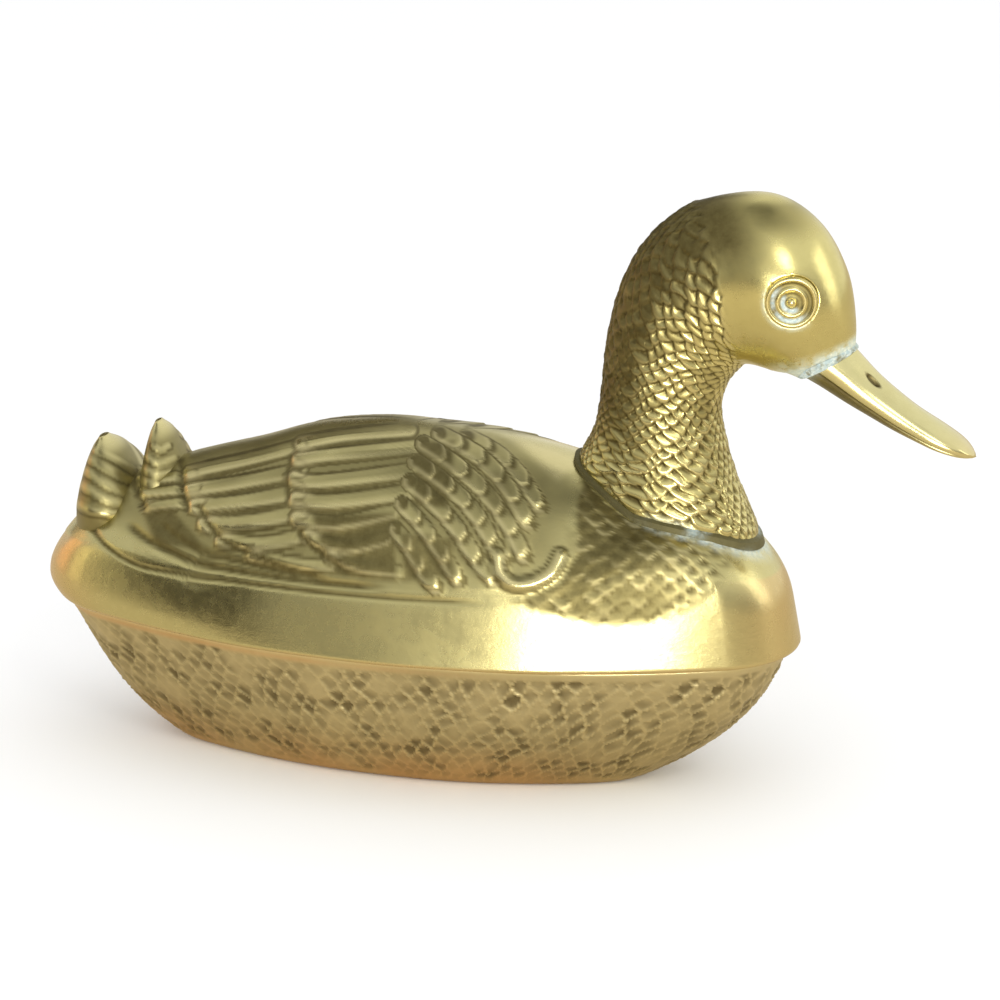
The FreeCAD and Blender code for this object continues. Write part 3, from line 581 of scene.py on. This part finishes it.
def feather_relief(x, y, z):
    """Height of the chased feathers over the plain form, in millimetres, and the masks for the finish."""
    across, down = flank_view(x, y, z)
    relief, dark, worn, barbs = (np.zeros_like(across) for _ in range(4))
    for line, half_width in WING_FEATHERS:
        off, side, way = stroke(across, down, line, half_width)
        vane = np.sqrt(np.clip(1 - off**2, 0, 1))
        root = 1 - 0.72 * smooth(0.25, 1.0, way)
        body = vane * root * 0.62
        shaft = peak(off, 0, 0.13) * 0.14 * root
        relief = np.maximum(relief, body + shaft)
        near = off < 1.25
        gap = near * peak(off, 1.0, 0.30) * (1 - 0.35 * smooth(0.5, 1.0, way))
        dark = np.maximum(dark, gap)
        hook = smooth(0.22, 0.0, way) * peak(off, 0.55, 0.35)
        edge = peak(off, 0.50, 0.24) * (side > 0) * (1 - 0.5 * way)
        worn = np.maximum(worn, near * np.maximum(edge * 0.85, hook))
        barbs = np.where(near, np.maximum(barbs, vane), barbs)
    for line, half_width, count in COVERTS:
        off, side, way = stroke(across, down, line, half_width)
        bow = way + 0.35 / count * off**2    # each feather's free edge is rounded
        fall = bow * count % 1
        near = off < 1.05
        vane = np.clip(1 - off**2, 0, 1) ** 0.4
        lift = vane * (0.20 + 0.42 * fall**0.8) * smooth(1.02, 0.97, way)
        relief = np.where(near, np.maximum(relief * 0.3, lift), relief)
        edge = peak(off, 0.55, 0.25) * (side > 0)
        worn = np.where(near, np.maximum(0.42 * smooth(0.72, 0.95, fall) * vane, 0.6 * edge), worn)
        dark = np.where(near, np.maximum(smooth(0.45, 0.05, fall), smooth(0.75, 1.0, off)), dark)
    off, side, way = stroke(across, down, SCROLL, 7.0)
    roll = np.sqrt(np.clip(1 - off**2, 0, 1))
    relief = np.maximum(relief, 0.95 * roll)
    worn = np.maximum(worn, peak(off, 0, 0.45))
    dark = np.where(off < 0.5, 0, np.maximum(dark, peak(off, 1.2, 0.25) * 0.8))
    breast = in_field(across, down, BREAST_FIELD, 9.0) * (stroke(across, down, SCROLL, 8.0)[0] > 1)
    breast = breast * (1 - 0.75 * smooth(690, 750, across))
    wob = 1.2 * waves(x, np.abs(y), z, 16, 11)
    fall, inside, own = scales(across + wob * 2, down - (across - 600) * 0.10 + wob, 22.0, 9.8, reach=1.7)
    lip_edge = peak(inside, 0, 0.22)
    relief = relief + breast * (0.6 + 0.6 * own) * (0.36 * np.sin(np.clip(fall, 0, 1) ** 1.4 * 2.2) - 0.20)
    worn = np.maximum(worn, breast * smooth(0.6, 0.95, fall) * 0.4 * smooth(0.4, 1.0, own))
    # dark at each scale's root, some scales darker than others, and painted shade that deepens over the
    # breast's rear part
    tone = np.maximum(smooth(0.70, 0.08, fall), 0.62 * smooth(730, 640, across) + 0.2 * (1 - own))
    dark = np.maximum(dark, breast * np.maximum(tone, lip_edge * 0.9))
    for line, half_width, depth in GROOVES:
        off, side, way = stroke(across, down, line, half_width)
        cut = np.exp(-off**2) * smooth(0, 0.05, way) * smooth(1.0, 0.85, way)
        relief = relief - cut * depth
        dark = np.maximum(dark, cut)
        worn = worn * (1 - cut)
    field = in_field(across, down, WING_FIELD, 10.0)
    comb = np.sin((across * 0.55 - down) * 1.35 + 0.8 * waves(x, np.abs(y), z, 8, 12))
    relief = relief + field * barbs * 0.035 * comb - 0.30 * in_field(across, down, WING_FIELD, 42.0)
    base = field * 0.42 * (1 - smooth(-0.4, 0.15, relief))
    dark = np.maximum(dark, base)
    # a slow darker mottle over the wing field, deepened by painted shade in the shaded fields
    flank = field * (0.13 + 0.13 * waves(x, np.abs(y), z, 15, 16))
    for corners, depth in SHADED:
        flank = np.maximum(flank, in_field(across, down, corners, 13.0) * depth)
    # painted reflection: the mantle is painted paler and brighter
    pale = in_field(across, down, MANTLE_FIELD, 14.0)
    worn = np.maximum(worn, 0.75 * pale)
    dark = np.maximum(dark, flank) * (1 - 0.8 * pale)
    return relief, dark, worn, across, down, np.maximum(field, breast) * (1 - pale)


normal = normals_of(lid)
lx, ly, lz = lid_points[:, 0], lid_points[:, 1], lid_points[:, 2] - SEAM_Z
relief, dark, worn, across, down, field = feather_relief(lx, ly, lz)
crest = 0.1 + 0.9 * smooth(1.5, 12, np.abs(ly))
amount = (is_back | (is_belt & (rise > 0.25))) * (0.45 + 0.55 * smooth(0.8, 3.2, np.abs(ly)))
neck_zone = np.hypot((lx - 53.5) / 19.5, ly / 13.5) < 1.0
amount = np.where(neck_zone & is_back, 0, amount)
lid_points += normal * (relief * amount * crest)[:, None]
uneven = is_back * 0.12 * waves(lx, ly, lz, 21, 14) + is_belt * 0.05 * waves(lx, ly, lz, 30, 15)
lid_points += normal * uneven[:, None]
shape_piece(lid, lid_points)
neck_ring = np.abs(np.hypot((lx - 53.5) / 20.4, ly / 13.2) - 1.0)
# Painted reflection: the belt's ends are painted warm. Painted highlight: a bright, warm line along the
# belt's lower edge, partly rubbed bright.
end_painted_reflection = smooth(-60, -82, lx) * 0.9 + smooth(66, 78, lx) * 0.5
paint(lid, dark=np.where(is_inside, 0.45, dark * amount * 1.25 + 0.15 * field * is_back),
      worn=np.where(is_inside, 0, worn * amount * 1.2 + is_belt * smooth(0.12, 0.0, rise) * 0.6),
      warm=is_belt * np.maximum(end_painted_reflection, smooth(0.10, 0.02, rise)),
      residue=is_back * smooth(0.14, 0.0, neck_ring) * smooth(46, 60, lx) * 0.8)
lid_brass = brass("lid_brass", bump=0.16, Bright=(0.64, 0.575, 0.27), Deep=(0.115, 0.092, 0.032),
                  Warm=(0.76, 0.52, 0.25), Satin=0.245, Tarnish=0.03)


TAIL_SHARES = np.array([    # height, length, width and lean to the rear
    (0.28, 0.98, 0.74, 0.0), (0.45, 1.06, 0.82, 0.0), (0.63, 1.00, 0.84, 0.0), (0.82, 0.66, 0.62, 0.16),
    (0.94, 0.36, 0.36, 0.30), (1.0, 0.12, 0.13, 0.40),
])
TAIL_FEATHERS = [
    ([(97, 450), (110, 456), (122, 463), (134, 471)], 4.6),
    ([(89, 459), (104, 467), (120, 476), (134, 482)], 5.2),
    ([(83, 470), (98, 479), (114, 488), (134, 494)], 5.6),
    ([(77, 484), (94, 493), (110, 501), (134, 506)], 5.6),
    ([(70, 500), (90, 511), (124, 516), (140, 518)], 5.0), ([(154, 446), (161, 450), (168, 446)], 4.2),
    ([(147, 458), (160, 464), (174, 459)], 4.6), ([(142, 470), (160, 475), (179, 470)], 5.0),
    ([(140, 481), (160, 486), (182, 482)], 5.2), ([(142, 492), (160, 497), (186, 493)], 5.2),
    ([(146, 504), (165, 508), (190, 504)], 5.4),
]
TAIL_SEGMENTS, TAIL_RINGS, TAIL_CAP = 120, 62, 5


def tail_group(name, middle_x, half_length, half_width, tall):
    """Upturned feathers laid one over another in a leaning group, cast in one with the lid."""
    piece, ring, spot = closed_form(name, TAIL_SEGMENTS, TAIL_RINGS)
    rows = TAIL_RINGS - TAIL_CAP
    row = through(TAIL_SHARES, np.clip((ring - 3) / (rows - 3), 0, 1) * (len(TAIL_SHARES) - 1))
    cap = np.clip((ring - rows) / TAIL_CAP, 0, 1)
    share = np.where(ring < 3, ring / 3, np.sqrt(1 - cap**2))
    angle = spot / TAIL_SEGMENTS * 2 * np.pi
    x = middle_x + half_length * (share * row[:, 1] * np.cos(angle) - row[:, 3])
    y = half_width * share * row[:, 2] * np.sin(angle)
    x = x - 0.5 * (y / half_width) ** 2
    z = tall * row[:, 0] + 0.4 * cap
    points = np.stack([x, y, z + SEAM_Z], -1)
    place_points(piece, points)
    across, down = flank_view(x, y, z)
    relief, gap, bright = np.zeros_like(x), np.zeros_like(x), np.zeros_like(x)
    for line, half in TAIL_FEATHERS:
        off, side, _ = stroke(across, down, line, half)
        vane = np.clip(1 - off**2, 0, 1) ** 0.5
        relief = np.maximum(relief, vane)
        gap = np.maximum(gap, peak(off, 1.05, 0.25) * (side > 0))
        edge = peak(off, 0.35, 0.35) * (side < 0)
        bright = np.maximum(bright, edge + peak(off, 0, 0.3) * 0.6)
    tip = smooth(0.9, 1.0, row[:, 0])
    facing = smooth(0.1, 0.8, np.abs(normals_of(piece)[:, 1]))
    points += normals_of(piece) * ((0.26 * relief - 0.20) * facing * (1 - tip))[:, None]
    shape_piece(piece, points)
    paint(piece, dark=np.clip(gap * 0.55 + 0.30 * (1 - relief) + 0.46, 0, 1) * (1 - tip),
          worn=np.maximum(bright * 0.30, tip * 0.5))
    return piece


tail_fan = tail_group("tail_fan", -67.0, 8.0, 17.0, 33.0)
wing_tips = tail_group("wing_tips", -55.3, 5.9, 14.0, 37.4)
for part in (lid, tail_fan, wing_tips):
    part.data.materials.append(lid_brass)
bpy.ops.object.select_all(action="DESELECT")
for part in (tail_fan, wing_tips, lid):
    part.select_set(True)
bpy.context.view_layer.objects.active = lid
bpy.ops.object.join()
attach(lid, "lid")
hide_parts("lid_shell")


# ---------------------------------------------------------------- neck and head
# A hollow casting brazed on the lid: a slim scaled neck that widens to its root, and a smooth buffed
# head with a seat for each eye. The chased scales stop at a line behind the cheek. The back of the neck
# carries painted shade, and the smooth head a painted dark reflection behind the cheek and on the crown.

NECK_SEGMENTS, NECK_ROWS = 330, 260
NECK_START, HEAD_END = 4, 6    # rings that close the root and the face
ARC_SHARE = 0.72
NECK_RADIUS = 11.5
EYE_TURN = math.radians(14)
HEAD_X, HEAD_Z, HEAD_HALF, HEAD_WIDE = 75.3, 77.3, 17.9, 13.6
NECK_X, NECK_Z, NECK_DEPTH, NECK_WIDE = 51.4, 31.3, 13.1, 9.8
EYE_X = HEAD_X + 6.0
neck_table = [(0.140, -0.124, 1.570, 1.296, 20.0), (0.090, 0.000, 1.500, 1.224, 18.0),
              (0.065, 0.216, 1.135, 1.061, 15.5), (0.035, 0.450, 0.950, 1.000, 12.0),
              (0.095, 0.647, 1.010, 1.041, 19.0)]
head_table = [(-0.965, -0.366, 0.870, 0.824, 41.0), (-0.580, -0.093, 1.020, 0.919, 58.0),
              (-0.244, 0.017, 1.033, 0.978, 75.0), (0.028, 0.017, 1.000, 1.000, 90.0),
              (0.294, -0.133, 0.883, 0.956, 103.0), (0.483, -0.383, 0.694, 0.831, 117.0),
              (0.583, -0.672, 0.483, 0.632, 134.0), (0.617, -0.872, 0.361, 0.440, 150.0)]
stations = [(NECK_X + (HEAD_X - NECK_X) * a, NECK_Z + (HEAD_Z - NECK_Z) * u, NECK_DEPTH * d, NECK_WIDE * w, t)
            for a, u, d, w, t in neck_table]
stations += [(HEAD_X + HEAD_HALF * a, HEAD_Z + HEAD_HALF * u, HEAD_HALF * d, HEAD_WIDE * w, t)
             for a, u, d, w, t in head_table]
stations = np.array(stations)


def rows_by_length(table, count):
    """Places along a table of stations, evenly spaced on its outer curve."""
    fine = np.linspace(0, len(table) - 1, 2001)
    c = through(table, fine)
    tilt = np.radians(c[:, 4])
    back = np.stack([c[:, 0] - c[:, 2] * np.cos(tilt), c[:, 1] + c[:, 2] * np.sin(tilt)], -1)
    front = np.stack([c[:, 0] + c[:, 2] * np.cos(tilt), c[:, 1] - c[:, 2] * np.sin(tilt)], -1)
    run = run_along(*back.T) + run_along(*front.T)
    return np.interp(np.linspace(0, run[-1], count), run, fine), np.linspace(0, run[-1] / 2, count)


where, run = rows_by_length(stations, NECK_ROWS)
head_rings = NECK_START + NECK_ROWS - 1 + HEAD_END
head, ring, spot = closed_form("neck_and_head_casting", NECK_SEGMENTS, head_rings)
level = np.clip(ring - NECK_START, 0, NECK_ROWS - 1)
is_cap = ring > head_rings - HEAD_END
cap_share = np.where(is_cap, (head_rings - ring) / HEAD_END, np.minimum(ring / NECK_START, 1))
cap_share = np.sqrt(np.clip(1 - (1 - cap_share) ** 2, 0, 1))
c = through(stations, where)[level]
half_long = np.maximum(c[:, 2], c[:, 3] * 1.001)
turn = even_turns(NECK_SEGMENTS, (15.0, 15.0, 11.0, 11.0 * ARC_SHARE, 11.0 * ARC_SHARE))[spot]
ax, ay = egg(turn, half_long, half_long, c[:, 3], ARC_SHARE * c[:, 3], ARC_SHARE * c[:, 3])
tilt = np.radians(c[:, 4])
cap_out = np.where(is_cap, 1.6 * (1 - cap_share), 0)
x = c[:, 0] + ax * cap_share * np.cos(tilt) + cap_out * np.sin(tilt)
z = c[:, 1] - ax * cap_share * np.sin(tilt) + cap_out * np.cos(tilt)
y = ay * cap_share
z = np.maximum(z, swell(x, y) - 0.5)
head_points = np.stack([x, y, z + SEAM_Z], -1)
place_points(head, head_points)
normal = normals_of(head)

# scales up the neck, in rows round it, up to a line from the nape to the throat
arc = np.abs(turn) * NECK_RADIUS + 0.50 * waves(x, np.abs(y), z, 6, 31)
fall_run = -run[level] + 0.45 * waves(x, np.abs(y), z, 6, 32)
across, down = flank_view(x, y, z)
face_line = [(690, 190), (706, 222), (716, 260), (722, 300), (728, 335), (738, 362), (760, 372)]
line_x = np.interp(down, [p[1] for p in face_line], [p[0] for p in face_line])
scaled = smooth(4, -6, across - line_x) * (ring > NECK_START)
above_root = smooth(0.2, 2.2, z - swell(x, y))
scaled = scaled * above_root * (ring < NECK_ROWS)
fall, inside, own = scales(arc, fall_run, np.pi * NECK_RADIUS / 14.5, 1.55, reach=1.7)
fall = np.clip(fall, 0, 1)
gap = np.maximum(smooth(0.50, 0.12, fall), 0.85 * peak(inside, 0, 0.24))
front_fade = 1 - 0.25 * smooth(0.6, 1.0, np.cos(turn))
relief = scaled * front_fade * (0.65 + 0.55 * own) * (0.74 * np.sin(fall**1.3 * 2.3) - 0.32)
cheek_step = peak(across - line_x, 3, 5.0) * (ring > 30) * (down < 360)
relief = relief + 0.08 * cheek_step
eye_dx, eye_dz = x - EYE_X, z - HEAD_Z
eye_distance = np.hypot(eye_dx / math.cos(EYE_TURN), eye_dz)
dip = smooth(5.36, 4.75, eye_distance) * (np.abs(y) > 7)
relief = relief - 1.1 * dip
head_points += normal * (relief + (1 - scaled) * 0.06 * waves(x, y, z, 19, 33))[:, None]
shape_piece(head, head_points)
root = smooth(2.6, 0.2, z - swell(x, y)) * (x > 30)
bill_way = (x - HEAD_X) * 0.875 - (z - HEAD_Z) * 0.485
bill_up = (x - HEAD_X) * 0.485 + (z - HEAD_Z) * 0.875
bill_root = smooth(1.42, 1.08, np.hypot(y / 7.1, (bill_up + 7.3) / 5.8)) * smooth(6, 10, bill_way)
# painted shade: the back of the neck is painted darker and less rubbed
nape = smooth(0.25, -0.65, np.cos(turn)) * smooth(38, 52, z)
scale_dark = np.clip(gap * 0.95 + 0.30 * smooth(0.5, 0.0, own) + 0.95 * nape, 0, 1)
# Painted reflection: a dark band on the smooth head behind the cheek and across the crown
cheek_painted_reflection = smooth(78, 14, across - line_x) * smooth(305, 235, down)
crown_painted_reflection = 0.5 * smooth(248, 222, down) * smooth(196, 208, down) * smooth(830, 790, across)
eye_crust = peak(eye_distance, 5.4, 0.7) * smooth(-0.5, -3.0, eye_dz + 0.8 * eye_dx)
root_crust = root * smooth(-0.3, 0.6, waves(x, y, z, 14, 34)) * smooth(46, 60, x)
paint(head, dark=scaled * scale_dark + 0.55 * dip + (1 - scaled) * np.maximum(cheek_painted_reflection, crown_painted_reflection),
      worn=scaled * smooth(0.45, 0.85, fall) * (1 - gap) * (0.85 - 0.75 * nape) * smooth(0.1, 0.8, own),
      residue=0.8 * root_crust + 0.55 * eye_crust + 0.8 * bill_root)
head.data.materials.append(brass("head_brass", bump=0.14, Bright=(0.69, 0.61, 0.26), Warm=(0.62, 0.42, 0.16),
                                 Deep=(0.080, 0.058, 0.018), Satin=0.23, Tarnish=0.22))
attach(head, "lid")
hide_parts("neck_and_head")


# ---------------------------------------------------------------- bill
# A solid casting brazed into the face, broad at the root and flat at the rounded tip, with two slit
# nostrils on top and a chased line for the mouth along each side. It is polished, pale and smooth, with
# its underside painted dark as painted shade.

BILL_TILT = math.radians(29.0)
BILL_REACH, BILL_WIDE, BILL_THICK, BILL_DROP = 52.2, 6.6, 5.3, 8.7
BILL_SEGMENTS, BILL_ROWS, BILL_START, BILL_END = 160, 150, 3, 5
bill_table = np.array([    # reach, half width, half thickness and rise, as shares
    (0.226, 1.100, 1.100, 0.300), (0.358, 1.000, 1.000, 0.220), (0.528, 0.860, 0.780, 0.000),
    (0.680, 0.820, 0.620, -0.080), (0.830, 0.840, 0.470, -0.040), (0.925, 0.700, 0.320, 0.040),
    (0.972, 0.480, 0.190, 0.070), (1.000, 0.200, 0.080, 0.080),
])
where = np.linspace(0, len(bill_table) - 1, BILL_ROWS)
reach_at = through(bill_table, where)[:, 0]
where = np.interp(np.linspace(reach_at[0], reach_at[-1], BILL_ROWS), reach_at, where)
bill_rings = BILL_START + BILL_ROWS - 1 + BILL_END
bill, ring, spot = closed_form("bill_casting", BILL_SEGMENTS, bill_rings)
c = through(bill_table, where)[np.clip(ring - BILL_START, 0, BILL_ROWS - 1)]
is_tip = ring > bill_rings - BILL_END
tip_share = np.clip((bill_rings - ring) / BILL_END, 0, 1)
share = np.where(is_tip, np.sqrt(1 - (1 - tip_share) ** 2), np.minimum(ring / BILL_START, 1))
half_wide, half_thick = BILL_WIDE * c[:, 1], BILL_THICK * c[:, 2]
turn = even_turns(BILL_SEGMENTS, (BILL_WIDE, BILL_WIDE, 4.6, 3.3, 3.3))[spot]
flat = np.maximum(half_wide, half_thick * 1.001)
side, up = egg(turn, flat, flat, half_thick, ARC_SHARE * half_thick, ARC_SHARE * half_thick)
side, up = side * share, up * share
along = BILL_REACH * c[:, 0] + np.where(is_tip, 0.5 * (1 - share), 0)
lift = BILL_THICK * c[:, 3] - BILL_DROP + up
upper = np.sin(turn)
mouth = peak(upper, -0.42, 0.07) * smooth(0.99, 0.90, c[:, 0]) * smooth(3, 5, ring)
nostril_gap = np.hypot((along - 27.0) / 2.0, (np.abs(side) - 2.9) / 0.75) + 2 * (upper < 0)
nostril = smooth(1.0, 0.5, nostril_gap)
ridge = peak(side, 0, 1.6) * (upper > 0) * smooth(0.85, 0.4, c[:, 0])
x = HEAD_X + along * math.cos(BILL_TILT) + lift * math.sin(BILL_TILT)
z = HEAD_Z - along * math.sin(BILL_TILT) + lift * math.cos(BILL_TILT)
bill_points = np.stack([x, side, z + SEAM_Z], -1)
place_points(bill, bill_points)
normal = normals_of(bill)
bill_points += normal * (0.25 * ridge - 0.55 * nostril - 0.34 * mouth
                         + 0.05 * waves(x, side, z, 14, 41))[:, None]
shape_piece(bill, bill_points)
edge_line = peak(np.abs(upper), 0.05, 0.10)
# painted shade: the bill's underside is painted dark
under = 0.85 * smooth(-0.15, -0.6, upper) * smooth(0.95, 0.6, c[:, 0])
paint(bill, dark=np.maximum(smooth(1.3, 0.8, nostril_gap), 0.95 * mouth) + under,
      worn=0.30 * edge_line + 0.3 * ridge, warm=smooth(0.8, 1.0, c[:, 0]) * 0.4,
      residue=smooth(0.36, 0.24, c[:, 0]) * 0.9)
bill.data.materials.append(brass("bill_brass", bump=0.12, Bright=(0.73, 0.67, 0.34), Warm=(0.80, 0.58, 0.26),
                                 Deep=(0.085, 0.06, 0.018), Satin=0.20, Tarnish=0.15))
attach(bill, "lid")
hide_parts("bill")


# ---------------------------------------------------------------- eyes
# Two turned studs pressed into the head: a rounded outer ring, a dished groove, an inner ring and a
# pupil dot. White polish has dried in the grooves.

EYE_SEGMENTS = 96
EYE_PROFILE = np.array([    # distance from the middle, height over the face
    (0.0, 1.0), (0.35, 0.97), (0.7, 0.78), (0.95, 0.42), (1.15, 0.12), (1.5, 0.02), (1.9, 0.02), (2.2, 0.10),
    (2.4, 0.28), (2.6, 0.40), (2.76, 0.43), (2.92, 0.40), (3.12, 0.28), (3.3, 0.10), (3.6, -0.02),
    (4.0, -0.02), (4.2, 0.08), (4.35, 0.28), (4.55, 0.45), (4.78, 0.51), (5.0, 0.44), (5.18, 0.26),
    (5.28, 0.0), (5.3, -0.45), (5.3, -0.9), (2.6, -0.9),
])
eye_brass = brass("eye_brass", bump=0.12, Bright=(0.70, 0.61, 0.27), Deep=(0.17, 0.14, 0.05),
                  Warm=(0.78, 0.56, 0.26), Satin=0.25, Tarnish=0.2)


def eye(name, node, side):
    """One stud, turned a little towards the front; side is -1 on the duck's right."""
    piece, ring, spot = closed_form(name, EYE_SEGMENTS, len(EYE_PROFILE))
    row = np.clip(ring, 0, len(EYE_PROFILE) - 1)
    radius = np.where(ring < len(EYE_PROFILE), EYE_PROFILE[row, 0], 0.0)
    out = EYE_PROFILE[row, 1]
    angle = spot / EYE_SEGMENTS * 2 * np.pi
    radius = radius * (1 + 0.012 * np.sin(angle * 3 + side))
    forward, up = radius * np.cos(angle), radius * np.sin(angle)
    face_y = HEAD_WIDE * 0.955 - 0.7
    x = EYE_X + forward * math.cos(EYE_TURN) + out * math.sin(EYE_TURN)
    y = side * (face_y - forward * math.sin(EYE_TURN) + out * math.cos(EYE_TURN))
    points = np.stack([x, y, up + HEAD_Z + SEAM_Z], -1)
    shape_piece(piece, points)
    groove = smooth(0.22, 0.0, out) * (radius < 5.2)
    low_rear = smooth(-0.35, 0.45, np.cos(angle - math.radians(225)))
    paint(piece, dark=groove, worn=smooth(0.30, 0.5, out) * 0.35, residue=groove * low_rear * (radius > 1.2))
    piece.data.materials.append(eye_brass)
    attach(piece, "lid")
    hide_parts(node)


eye("right_eye_stud", "right_eye", -1)
eye("left_eye_stud", "left_eye", 1)


# ---------------------------------------------------------------- brazing
# Beads of filler metal run round the neck's root and round the bill's root. They are dull, uneven in
# colour, and hold pale green and white residue from the flux.

brazing = brass("brazing", bump=0.6, Bright=(0.42, 0.37, 0.17), Deep=(0.115, 0.110, 0.062),
                Warm=(0.5, 0.45, 0.3), Satin=0.48, Tarnish=0.9, Grain=2.0)
for node in ("neck_solder", "bill_solder"):
    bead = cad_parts[node]
    bead.data.materials.clear()
    bead.data.materials.append(brazing)
    if node == "bill_solder":
        paint(bead, dark=0.35, residue=0.9)
    else:
        x, y, z = read_vertices(bead, "co").T / MM
        crusted = smooth(-0.3, 0.7, waves(x, y, z, 10, 51)) * smooth(48, 62, x)
        paint(bead, dark=0.8, residue=0.8 * crusted)


# ---------------------------------------------------------------- stage
# A plain white table, soft light from the right and above, dim cards that a polished belt reflects,
# and a camera at the photograph's angle.

TARGET = Vector((DRAWN_X, 0, DRAWN_Z)) * MM
LENS, SENSOR = 150.0, 36
FRAME_WIDTH = 0.2088


def stage_plane(name, size, place, look_at, colour, in_brass=None, camera=True):
    bpy.ops.object.select_all(action="DESELECT")
    bpy.ops.mesh.primitive_plane_add(size=1, location=(0, 0, 0))
    made = bpy.context.object
    made.name = name
    made.scale = (size[0], size[1], 1)
    made.location = place
    if look_at is not None:
        made.rotation_euler = (Vector(look_at) - Vector(place)).to_track_quat("Z", "Y").to_euler()
    paper = bpy.data.materials.new(name)
    paper.use_nodes = True
    shader = paper.node_tree.nodes["Principled BSDF"]
    shader.inputs["Roughness"].default_value = 0.9
    shader.inputs["Specular IOR Level"].default_value = 0.0
    mirrored = sock(paper.node_tree, "ShaderNodeLightPath", out=3)
    colours = blend(paper.node_tree, mirrored, (*colour, 1), (*(in_brass or colour), 1))
    paper.node_tree.links.new(colours, shader.inputs["Base Color"])
    made.data.materials.append(paper)
    made.visible_camera = camera
    made.visible_shadow = camera
    made.visible_diffuse = camera


stage_plane("table", (8, 8), (0, 0, 0), None, (0.975, 0.98, 0.985), in_brass=(0.66, 0.58, 0.45))
for name, size, place, look_at, colour in (
    ("dim_card_left", (0.24, 0.34), (-0.40, -0.38, 0.10), (-0.04, 0, 0.04), (0.020, 0.016, 0.008)),
    ("pale_card_rear", (0.22, 0.30), (-0.54, -0.15, 0.10), (-0.06, 0, 0.04), (0.88, 0.78, 0.52)),
    ("warm_card_rear", (0.22, 0.30), (-0.50, 0.12, 0.10), (-0.06, 0, 0.04), (0.95, 0.62, 0.42)),
    ("dim_card_rear", (0.5, 0.4), (-0.35, 0.45, 0.30), (0, 0, 0.08), (0.10, 0.085, 0.05)),
):
    stage_plane(name, size, place, look_at, colour, camera=False)


def softbox(name, place, look_at, size, watts, colour):
    bpy.ops.object.light_add(type="AREA", location=place)
    lamp = bpy.context.object
    lamp.name = name
    lamp.data.shape = "RECTANGLE"
    lamp.data.size, lamp.data.size_y = size
    lamp.data.energy = watts
    lamp.data.color = colour
    lamp.rotation_euler = (Vector(look_at) - Vector(place)).to_track_quat("-Z", "Y").to_euler()


softbox("window", (0.325, -0.86, 0.15), (0.04, 0, 0.04), (0.37, 0.24), 3.6, (1.0, 0.98, 0.92))
softbox("upper_window", (0.44, -0.60, 0.62), (0.06, 0, 0.09), (0.24, 0.24), 0.8, (1.0, 0.98, 0.92))
softbox("right_side", (0.85, 0.15, 0.30), (0.04, 0, 0.06), (0.3, 0.5), 0.6, (1.0, 0.98, 0.94))

world = bpy.data.worlds.new("studio")
world.use_nodes = True
bpy.context.scene.world = world
tree = world.node_tree
background = tree.nodes["Background"]
direction = sock(tree, "ShaderNodeTexCoord", out=0)
parts = add_node(tree, "ShaderNodeSeparateXYZ", {0: direction})
room = blend(tree, spread(tree, parts.outputs[2], 0.0, 0.5), (0.28, 0.265, 0.23, 1), (0.88, 0.88, 0.85, 1))
room = blend(tree, spread(tree, parts.outputs[1], 0.05, 0.7), room, (1.0, 1.0, 0.98, 1))
room = blend(tree, spread(tree, parts.outputs[2], 0.88, 0.99), room, (0.22, 0.22, 0.20, 1))
side_value = spread(tree, parts.outputs[0], -0.8, 0.8, 0.76, 1.10)
side_light = sock(tree, "ShaderNodeCombineColor", {0: side_value, 1: side_value, 2: side_value})
room = blend(tree, 1.0, room, side_light, "MULTIPLY")
mirrored = sock(tree, "ShaderNodeLightPath", out=3)
tree.links.new(blend(tree, mirrored, (1, 1, 1, 1), room), background.inputs[0])
background.inputs[1].default_value = 1.0

level = math.cos(LOOK_TILT)
away = Vector((math.sin(LOOK_TURN) * level, -math.cos(LOOK_TURN) * level, math.sin(LOOK_TILT)))
eye_point = TARGET + away * (FRAME_WIDTH * LENS / SENSOR)
bpy.ops.object.camera_add(location=eye_point, rotation=away.to_track_quat("Z", "Y").to_euler())
camera = bpy.context.object
camera.data.lens = LENS
camera.data.sensor_width = SENSOR
camera.data.clip_end = 20
bpy.context.scene.camera = camera
bpy.context.scene.view_settings.view_transform = "Standard"
